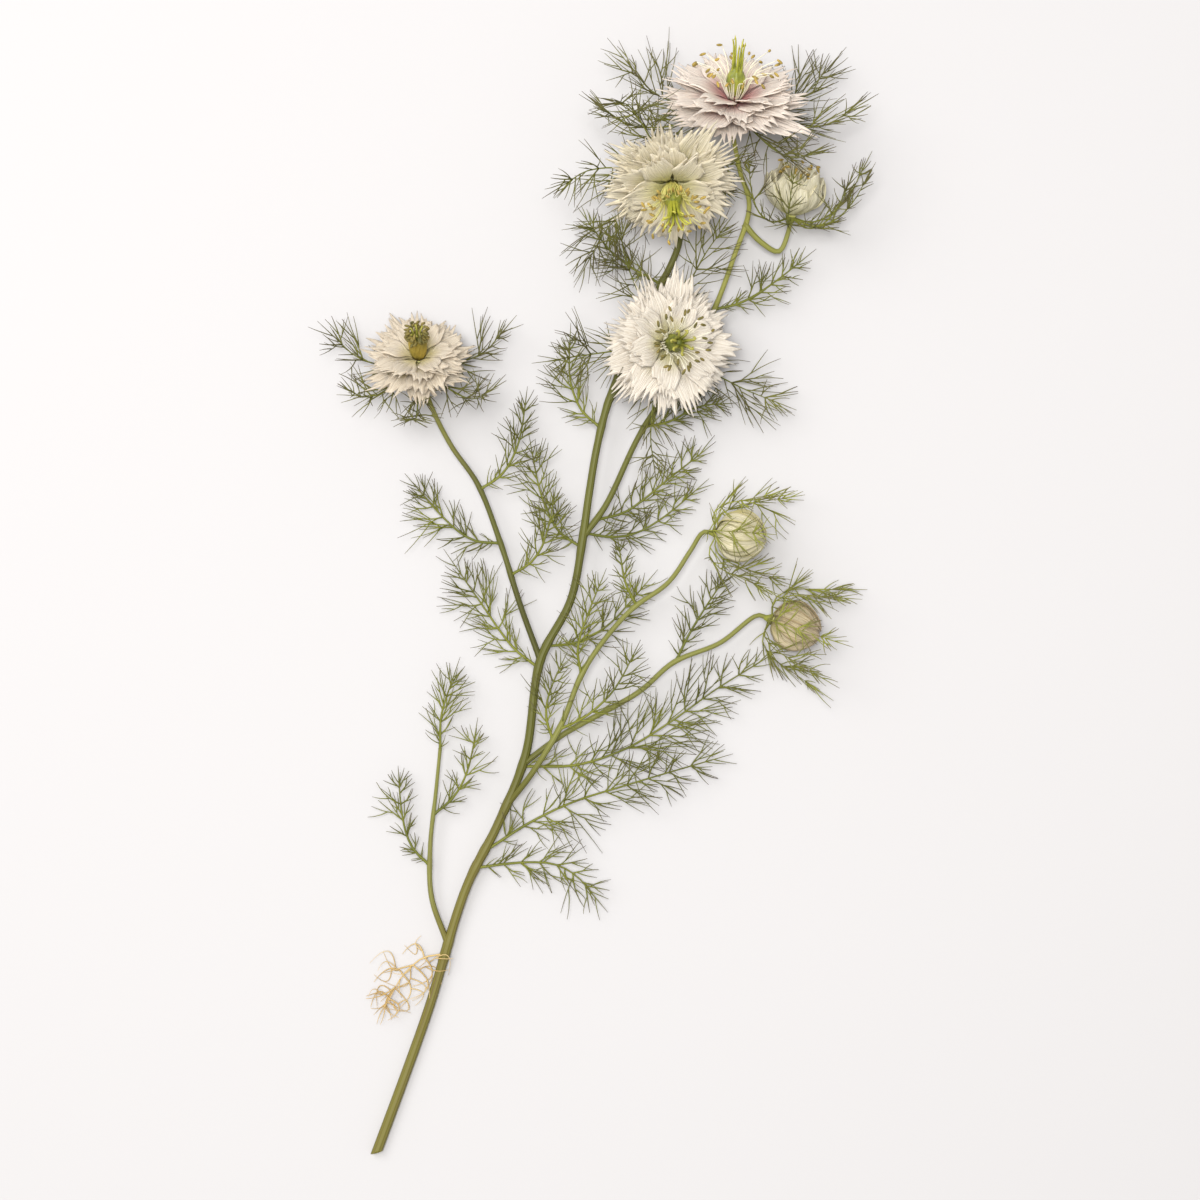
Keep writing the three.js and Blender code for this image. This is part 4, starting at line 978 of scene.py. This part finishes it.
BUD_PETALS = 5
BUD_POINT = 1.22  # how much the bud's top is drawn out
BUD_LATITUDES = (radians(-74), radians(87))
BUD_MIDDLE = PETAL_BASE + BUD_RADIUS * sin(radians(70))
BUD_COLUMNS = 10
BUD_ROWS = 14
# Each layer of closed petals, outermost first: share of the bud's radius, half the turn that a petal
# covers at its broadest, where it is broadest and where it ends, as shares of the way up.
BUD_LAYERS = [(1.0, 33, 0.42, 0.86), (0.95, 38, 0.5, 0.96), (0.88, 46, 0.5, 1.0)]
BUD_FOOT_WIDTH = 0.42
BUD_CAP = (0.6, 1)  # where its top is drawn out
BUD_POLE = 0.22  # a petal keeps covering as much of a turn from here on to the bud's ends
BUD_WIND = 0.6
BUD_SWAY = 0.12
BUD_CREASE = 0.24
BUD_FOLDS = (1.6, 2.6)
EDGE_LIFT = (0.4, 1)
BUD_OVERLAP = 0.28  # how much one edge of a petal stands over the next petal
INNER_EDGE = 0.35  # lift of the edge that lies under, as a share of the other's


def bud_petal(bm, seat, azimuth, layer, extra):
    """One petal closed over the bud: it winds up to its point, with one edge over the next petal."""
    share, half_turn, broadest, end = layer
    grid = bmesh.ops.create_grid(bm, x_segments=BUD_COLUMNS, y_segments=BUD_ROWS, size=0.5, calc_uvs=True)
    lift = extra(*EDGE_LIFT)
    sway = extra(-BUD_SWAY, BUD_SWAY)
    folds = extra(*BUD_FOLDS)
    for vert in grid["verts"]:
        u, w = 2 * vert.co.x, vert.co.y + 0.5
        height = w * end
        latitude = mix(*BUD_LATITUDES, height)
        if w < broadest:
            spread = mix(BUD_FOOT_WIDTH, 1, sin(pi / 2 * w / broadest))
        else:
            spread = cos(pi / 2 * (w - broadest) / (1 - broadest)) ** 0.8
        narrowing = max(cos(latitude), BUD_POLE) ** 0.25
        turn = azimuth + u * radians(half_turn) * spread / narrowing + BUD_WIND * w**1.5 + sway * w
        bulging = sin(pi * w)
        crease = BUD_CREASE * cos(u * pi * folds) * bulging
        edge = lift * abs(u) ** 3 * bulging * (1 if u > 0 else INNER_EDGE)
        reach = BUD_RADIUS * share + BUD_OVERLAP * u * spread + crease + edge
        stretch = mix(1, BUD_POINT, eased(*BUD_CAP, height))
        place = seat @ around(turn, reach * cos(latitude), BUD_MIDDLE + reach * sin(latitude) * stretch)
        place.z = max(place.z, PETAL_WALL / 2)
        vert.co = place * MM


def bud_mesh(spec, seed):
    """Closed petals in three layers, each layer turned half a step from the one over it."""
    seat = seat_of(spec)
    extra = Draws(EXTRA_SEED + seed)
    bm = mapped_mesh()
    for number, layer in enumerate(BUD_LAYERS):
        for i in range(BUD_PETALS):
            azimuth = 2 * pi * (i + 0.5 * number) / BUD_PETALS + radians(spec["turn"])
            bud_petal(bm, seat, azimuth, layer, extra)
    bmesh.ops.remove_doubles(bm, verts=bm.verts[:], dist=TOUCHING)
    finish_faces(bm.faces, True, 0)
    return bm


# ---- node building


def colour(code):
    """A colour from its six hex digits, as light."""
    shares = [int(code[i:i + 2], 16) / 255 for i in (0, 2, 4)]
    return (*[s / 12.92 if s <= 0.04045 else ((s + 0.055) / 1.055) ** 2.4 for s in shares], 1)


class Wiring:
    """Adds nodes to a tree, each with its inputs set or joined. A text is a colour's hex digits."""

    def __init__(self, tree):
        self.tree = tree

    def node(self, kind, inputs=None, **settings):
        node = self.tree.nodes.new("ShaderNode" + kind)
        for name, value in settings.items():
            setattr(node, name, value)
        for socket, value in (inputs or {}).items():
            self.put(value, node.inputs[socket])
        return node

    def put(self, value, socket):
        if isinstance(value, bpy.types.NodeSocket):
            self.tree.links.new(value, socket)
        else:
            socket.default_value = colour(value) if isinstance(value, str) else value

    def math(self, operation, *values):
        return self.node("Math", dict(enumerate(values)), operation=operation).outputs[0]

    def times(self, value, factor):
        return self.math("MULTIPLY", value, factor)

    def place(self, across, along):
        return self.node("CombineXYZ", {"X": across, "Y": along}).outputs[0]

    def noise(self, place, scale, detail):
        return self.node("TexNoise", {"Vector": place, "Scale": scale, "Detail": detail}).outputs[0]

    def between(self, value, low, high):
        """0 up to low, 1 from high on."""
        inputs = {"Value": value, "From Min": low, "From Max": high}
        return self.node("MapRange", inputs, interpolation_type="SMOOTHSTEP").outputs[0]

    def coated(self, hue, *coats):
        """A hue with others laid over it in turn, each by its share."""
        for share, coat in coats:
            node = self.node("Mix", data_type="RGBA")
            for socket, value in (("Factor", share), ("A", hue), ("B", coat)):
                self.put(value, node.inputs[socket])
            hue = node.outputs["Result"]
        return hue


def node_group(name, inputs, outputs):
    group = bpy.data.node_groups.new(name, "ShaderNodeTree")
    for socket, kind in inputs.items():
        group.interface.new_socket(socket, in_out="INPUT", socket_type="NodeSocket" + kind)
    for socket in outputs:
        group.interface.new_socket(socket, in_out="OUTPUT", socket_type="NodeSocketFloat")
    entry = group.nodes.new("NodeGroupInput")
    leave = group.nodes.new("NodeGroupOutput")
    return group, Wiring(group), entry.outputs, leave.inputs


def living_tone():
    """Broad and fine changes of tone over the plant."""
    inputs = {"Place": "Vector", "Broad": "Float", "Fine": "Float"}
    group, wiring, entry, leave = node_group("living tone", inputs, ["Cloud", "Speck"])
    for size, detail, out in (("Broad", 2.0, "Cloud"), ("Fine", 4.0, "Speck")):
        noise = wiring.noise(entry["Place"], entry[size], detail)
        wiring.put(wiring.between(noise, 0.34, 0.66), leave[out])
    return group


def silky_veins():
    """Fine veins along a petal, that meet at its foot, and the soft folds between them."""
    inputs = {"Across": "Float", "Along": "Float", "Count": "Float"}
    group, wiring, entry, leave = node_group("silky veins", inputs, ["Vein", "Fold"])
    across, along = entry["Across"], entry["Along"]
    sway = wiring.noise(wiring.place(wiring.times(across, 3.0), along), 3.0, 2.0)
    wander = wiring.math("MULTIPLY_ADD", sway, 0.2, across)
    turns = wiring.times(wander, wiring.times(entry["Count"], 2 * pi))
    wave = wiring.math("MULTIPLY_ADD", wiring.math("SINE", turns), 0.5, 0.5)
    wiring.put(wiring.math("POWER", wave, 5.0), leave["Vein"])
    fold = wiring.noise(wiring.place(wiring.times(across, 26.0), along), 1.6, 3.0)
    wiring.put(wiring.between(fold, 0.3, 0.7), leave["Fold"])
    return group


TONE = living_tone()
VEINS = silky_veins()
SKIN_LIGHT = (1, 0.92, 0.82)  # how far each colour of light goes in
BUMP_STRENGTH = 0.6
VEIN_COUNT = 12.0
# Most that each coat of a petal covers of what is below it.
TIP_COAT, CLOUD_COAT = 0.7, 0.18
# The fold coat is painted shade: the veins' hue laid into the hollows between the soft folds.
VEIN_COAT, PAINTED_FOLD_SHADE_COAT = 0.8, 0.9  # as shares of "depth"


def start_material(name, roughness, **constants):
    """A new material, the wiring of its tree, and its shader's inputs."""
    material = bpy.data.materials.new(name)
    material.use_nodes = True
    shader = material.node_tree.nodes["Principled BSDF"]
    shader.inputs["Roughness"].default_value = roughness
    shader.inputs["Subsurface Radius"].default_value = SKIN_LIGHT
    for socket, value in constants.items():
        shader.inputs[socket.replace("_", " ")].default_value = value
    return material, Wiring(material.node_tree), shader.inputs


def grouped(wiring, group, inputs):
    node = wiring.tree.nodes.new("ShaderNodeGroup")
    node.node_tree = group
    for socket, value in inputs.items():
        wiring.put(value, node.inputs[socket])
    return node.outputs


def toned(wiring, broad, fine):
    """The broad and the fine tone at a place of a piece, and the place."""
    place = wiring.node("TexCoord").outputs["Object"]
    tone = grouped(wiring, TONE, {"Place": place, "Broad": broad, "Fine": fine})
    return tone["Cloud"], tone["Speck"], place


def uv_shares(wiring):
    """A piece's UV map: across and along a sheet, or along and around a line."""
    place = wiring.node("UVMap", uv_map="UVMap").outputs[0]
    parts = wiring.node("SeparateXYZ", {"Vector": place}).outputs
    return parts["X"], parts["Y"]


def finished(wiring, shader, hue, height, distance):
    """Gives a shader its hue, and a relief as deep as the distance, in millimetres."""
    wiring.put(hue, shader["Base Color"])
    bump = wiring.node("Bump", {"Height": height, "Distance": distance * MM, "Strength": BUMP_STRENGTH})
    wiring.put(bump.outputs[0], shader["Normal"])


def petal_material(name, foot, blade, tip, vein, depth, foot_reach=0.4, rim=0.0):
    """Silky petal: a tinted foot, a pale blade, faint veins and soft folds. Painted shade in the veins'
    colour lies in the folds' hollows and, as a rim, along the petal's edges.
    """
    material, wiring, shader = start_material(
        name, 0.5, Subsurface_Weight=0.2, Subsurface_Scale=0.002, Sheen_Weight=0.1, Specular_IOR_Level=0.3)
    across, along = uv_shares(wiring)
    cloud, _, _ = toned(wiring, broad=70.0, fine=420.0)
    lines = grouped(wiring, VEINS, {"Across": across, "Along": along, "Count": VEIN_COUNT})
    # Painted shade: the hollows between the soft folds are darkened with the veins' hue.
    painted_fold_shade = wiring.math("SUBTRACT", 1.0, lines["Fold"])
    off_middle = wiring.math("ABSOLUTE", wiring.math("SUBTRACT", across, 0.5))
    hue = wiring.coated(
        foot,
        (wiring.between(along, 0.02, foot_reach), blade),
        (wiring.times(wiring.between(along, 0.62, 1.0), TIP_COAT), tip),
        (wiring.times(lines["Vein"], depth * VEIN_COAT), vein),
        # Painted shade in the folds' hollows.
        (wiring.times(painted_fold_shade, depth * PAINTED_FOLD_SHADE_COAT), vein),
        (wiring.times(cloud, CLOUD_COAT), tip),
        # Painted shade: a darker line in the veins' hue along both sides of each petal, where one petal's
        # edge lies over the next.
        (wiring.times(wiring.between(off_middle, 0.4, 0.5), rim), vein),
    )
    height = wiring.math("ADD", lines["Fold"], wiring.times(lines["Vein"], -0.5))
    finished(wiring, shader, hue, height, distance=0.4)
    return material


def green_material(name, young, old, tip, tip_from=0.55, roughness=0.55):
    """Leaf threads: young green, older olive in places, and a greyer tip."""
    material, wiring, shader = start_material(name, roughness, Specular_IOR_Level=0.22)
    length_share, _ = uv_shares(wiring)
    cloud, speck, _ = toned(wiring, broad=45.0, fine=300.0)
    patchy = wiring.math("MULTIPLY_ADD", speck, 0.6, 0.4)
    tinted = wiring.times(wiring.between(length_share, tip_from, 1.0), patchy)
    wiring.put(wiring.math("MULTIPLY_ADD", speck, 0.15, roughness - 0.07), shader["Roughness"])
    finished(wiring, shader, wiring.coated(young, (cloud, old), (tinted, tip)), speck, distance=0.08)
    return material


def stalk_material(name, pale_from, pale_to, pale="7C7C3E", green="54541E"):
    """Grooved stalk: brownish olive at the foot, dark green above it, and paler towards its head."""
    material, wiring, shader = start_material(name, 0.5, Specular_IOR_Level=0.3)
    length_share, around_share = uv_shares(wiring)
    cloud, _, place = toned(wiring, broad=28.0, fine=220.0)
    height = wiring.node("SeparateXYZ", {"Vector": place}).outputs["Y"]
    fresh = wiring.between(height, -0.1, -0.04)
    streak_place = wiring.place(wiring.times(around_share, 9.0), wiring.times(length_share, 5.0))
    streaks = wiring.noise(streak_place, 2.0, 3.0)
    streaked = wiring.times(wiring.between(streaks, 0.45, 0.7), wiring.math("SUBTRACT", 0.8, fresh))
    hue = wiring.coated(
        "6C6429",
        (fresh, green),
        (wiring.between(length_share, pale_from, pale_to), pale),
        (streaked, "64513A"),
        (wiring.times(cloud, 0.3), "757634"),
    )
    grooves = wiring.math("SINE", wiring.times(around_share, 2 * pi * GROOVES))
    finished(wiring, shader, hue, wiring.math("MULTIPLY_ADD", grooves, 0.5, streaks), distance=0.16)
    return material


def heart_material(name, low, high, tip, broad, roughness=0.55):
    """Small parts of the bloom: two tones by place, and a third towards the end of each line."""
    material, wiring, shader = start_material(name, roughness, Subsurface_Weight=0.15, Subsurface_Scale=0.001)
    length_share, _ = uv_shares(wiring)
    cloud, speck, _ = toned(wiring, broad, fine=900.0)
    hue = wiring.coated(low, (cloud, high), (wiring.between(length_share, 0.45, 1.0), tip))
    finished(wiring, shader, hue, speck, distance=0.1)
    return material


def pith_material():
    material, wiring, shader = start_material("cut pith", 0.7)
    _, speck, _ = toned(wiring, broad=500.0, fine=2500.0)
    finished(wiring, shader, wiring.coated("D9DDB4", (speck, "B4BC80")), speck, distance=0.1)
    return material


# ---- build

STEM_FINISH = [
    stalk_material("grooved stalk", 0.85, 1.0),
    pith_material(),
    stalk_material("grooved branch", 0.5, 0.95, "858240", "484818"),
    stalk_material("young stalk", 0.0, 0.3),
    stalk_material("top branch", 0.4, 0.75, "A3A150"),
    stalk_material("top twig", -0.2, 0.0, "8F8E48"),
]
THREAD = green_material("leaf thread", "7F8234", "5E5F29", "504434", 0.25)
RIB = green_material("leaf rib", "76782F", "5E6228", "666632")
MIST = green_material("bract thread", "767636", "5C592F", "504434", 0.25)
BUD_MIST = green_material("bud bract thread", "93963E", "737436", "625640", 0.35)
DRY = green_material("dry thread", "D8C08A", "BC9E66", "CDB07C", roughness=0.75)
HEART_TONES = {
    "filament": ("F4EFDA", "EAE5C6", "EFE8CC", 200.0),
    "yellow filament": ("DDD582", "C9C064", "DCD48C", 200.0),
    "olive filament": ("B49C40", "8C7C30", "9A8A3C", 260.0),
    "olive anther": ("7C6C30", "565222", "86763A", 600.0, 0.7),
    "ochre anther": ("B29647", "82702F", "A88C44", 600.0, 0.7),
    "ovary": ("9A9C36", "6E742A", "A6A640", 350.0, 0.45),
    "style": ("A2A234", "82862C", "B8B244", 300.0, 0.45),
    "olive ovary": ("767A26", "585E1E", "7E7C30", 350.0, 0.5),
    "olive style": ("86852C", "606224", "A09A40", 300.0, 0.5),
    "petal foot": ("CFCB84", "B6B462", "D2CE8C", 300.0),
    "rose foot": ("8E4A48", "7A5040", "9A5550", 300.0),
}
HEART = {"leaf rib": RIB} | {name: heart_material(name, *tones) for name, tones in HEART_TONES.items()}
# Filaments, anthers and disc of each bloom, and then its ovary and styles.
HEART_FINISH = {
    "lead_bloom": ("filament", "olive anther", "olive ovary", "olive ovary", "olive style"),
    "nodding_bloom": ("yellow filament", "ochre anther", "style", "ovary", "style"),
    "top_bloom": ("filament", "ochre anther", "rose foot", "ovary", "style"),
    "left_bloom": ("olive filament", "olive anther", "olive filament", "olive filament", "olive style"),
    "half_open_bloom": ("filament", "ochre anther", "leaf rib", "ovary", "style"),
}
# Hues of a petal's foot, blade, tip and veins (the veins' hue is also the painted shade in the folds' hollows
# and along the edges), then how deep the veins and the painted fold shade are, how far the foot's hue
# reaches and how strong the painted shade along the edges (the rim) is.
PETAL_TONES = {
    "lead_bloom": ("ivory petal", "D8D288", "EEE5D6", "E8DFD2", "B8A68C", 0.6, 0.44),
    "nodding_bloom": ("cream petal", "D2CC6C", "EDE1C6", "E8DBC6", "B4A67C", 0.6, 0.56),
    "top_bloom": ("blushed petal", "BC5A60", "F0E3D4", "EBDCCB", "BEA698", 0.45, 0.5),
    "left_bloom": ("white petal", "CCBE66", "E2D5BF", "D8C9B4", "AE987A", 0.6, 0.46),
    "half_open_bloom": ("green petal", "D2CC88", "FBF2D8", "F4E8CA", "B4AC74", 0.7, 0.4, 0.5),
    "upper_bud": ("bud petal", "C4C07E", "F2E6C6", "F2E8CE", "A69C5E", 0.75, 0.4, 0.8),
    "lower_bud": ("blushed bud petal", "B0A668", "DDCEA8", "DFC9A8", "8C744E", 0.75, 0.4, 0.7),
}
PETAL_FINISH = {name: petal_material(*tones) for name, tones in PETAL_TONES.items()}


def dress_bloom(spec, seed, layers, course, collar, size, shape, heart_size):
    """All four pieces of a bloom."""
    name = spec["name"]
    heart = [HEART[tone] for tone in HEART_FINISH[name]]
    collar = bracts_mesh(spec, seed, course, collar, size)
    finish_piece(name + "_bracts", collar, [MIST, RIB, HEART["petal foot"]])
    finish_sheet(name + "_petals", petals_mesh(spec, seed + 1, layers, shape), PETAL_FINISH[name])
    finish_piece(name + "_stamens", stamens_mesh(spec, seed + 2, layers), heart[:3])
    finish_piece(name + "_pistil", pistil_mesh(spec, seed + 3, layers, heart_size), heart[3:])


finish_piece("stem", stem_mesh(), STEM_FINISH)
for index, (name, *_) in enumerate(LEAVES):
    dry = name == "dry_threads"
    finish_piece(name, leaf_mesh(index), [DRY, DRY] if dry else [THREAD, RIB])

for number, spec in enumerate(BLOOMS, 1):
    size = spec["size"]
    dress_bloom(spec, BLOOM_SEEDS * number, 4, BLOOM_RIB, BLOOM_COLLAR, size, open_petal, size)
half_open_heart = HALF_OPEN_BLOOM["size"] * HALF_OPEN_HEART
dress_bloom(
    HALF_OPEN_BLOOM, HALF_OPEN_SEED, 2, CUP_RIB, CUP_COLLAR, 1, cupped_petal, half_open_heart)

for seed, spec in enumerate(BUDS, BUD_SEED):
    name = spec["name"]
    collar = bracts_mesh(spec, seed, BUD_RIB, BUD_COLLAR)
    finish_piece(name + "_bracts", collar, [BUD_MIST, BUD_MIST, HEART["petal foot"]])
    finish_sheet(name + "_head", bud_mesh(spec, seed), PETAL_FINISH[name])

# ---- studio

CAMERA_HEIGHT = 0.9
LENS = 85
FLOOR_SIZE = 6
FLOOR_TONE = (0.52, 0.506, 0.503, 1)
ROOM_TONE = (1, 0.985, 0.975, 1)
ROOM_LIGHT = 0.55
LAMPS = (("overhead", (-0.08, 0.1, 1.5), 22, 0.5), ("window", (-0.9, 0.6, 1.3), 14, 1.0))


def studio():
    """A pale floor under soft light, seen from straight above."""
    paper, _, shader = start_material("pale paper", 0.9)
    shader["Base Color"].default_value = FLOOR_TONE
    bm = bmesh.new()
    bmesh.ops.create_grid(bm, x_segments=1, y_segments=1, size=FLOOR_SIZE / 2)
    mesh_piece("floor", bm, [paper])

    room = bpy.data.worlds.new("soft room")
    room.use_nodes = True
    room.node_tree.nodes["Background"].inputs["Color"].default_value = ROOM_TONE
    room.node_tree.nodes["Background"].inputs["Strength"].default_value = ROOM_LIGHT
    bpy.context.scene.world = room

    for name, place, power, size in LAMPS:
        light = bpy.data.lights.new(name, "AREA")
        light.energy = power
        light.size = size
        lamp = in_scene(name, light)
        lamp.location = place
        lamp.rotation_euler = (-Vector(place)).to_track_quat("-Z", "Y").to_euler()

    low, high = plain_box
    camera = in_scene("camera", bpy.data.cameras.new("camera"))
    camera.data.lens = LENS
    camera.location = ((low[0] + high[0]) / 2, (low[1] + high[1]) / 2, CAMERA_HEIGHT)
    bpy.context.scene.camera = camera
    bpy.context.scene.view_settings.view_transform = "Standard"


studio()
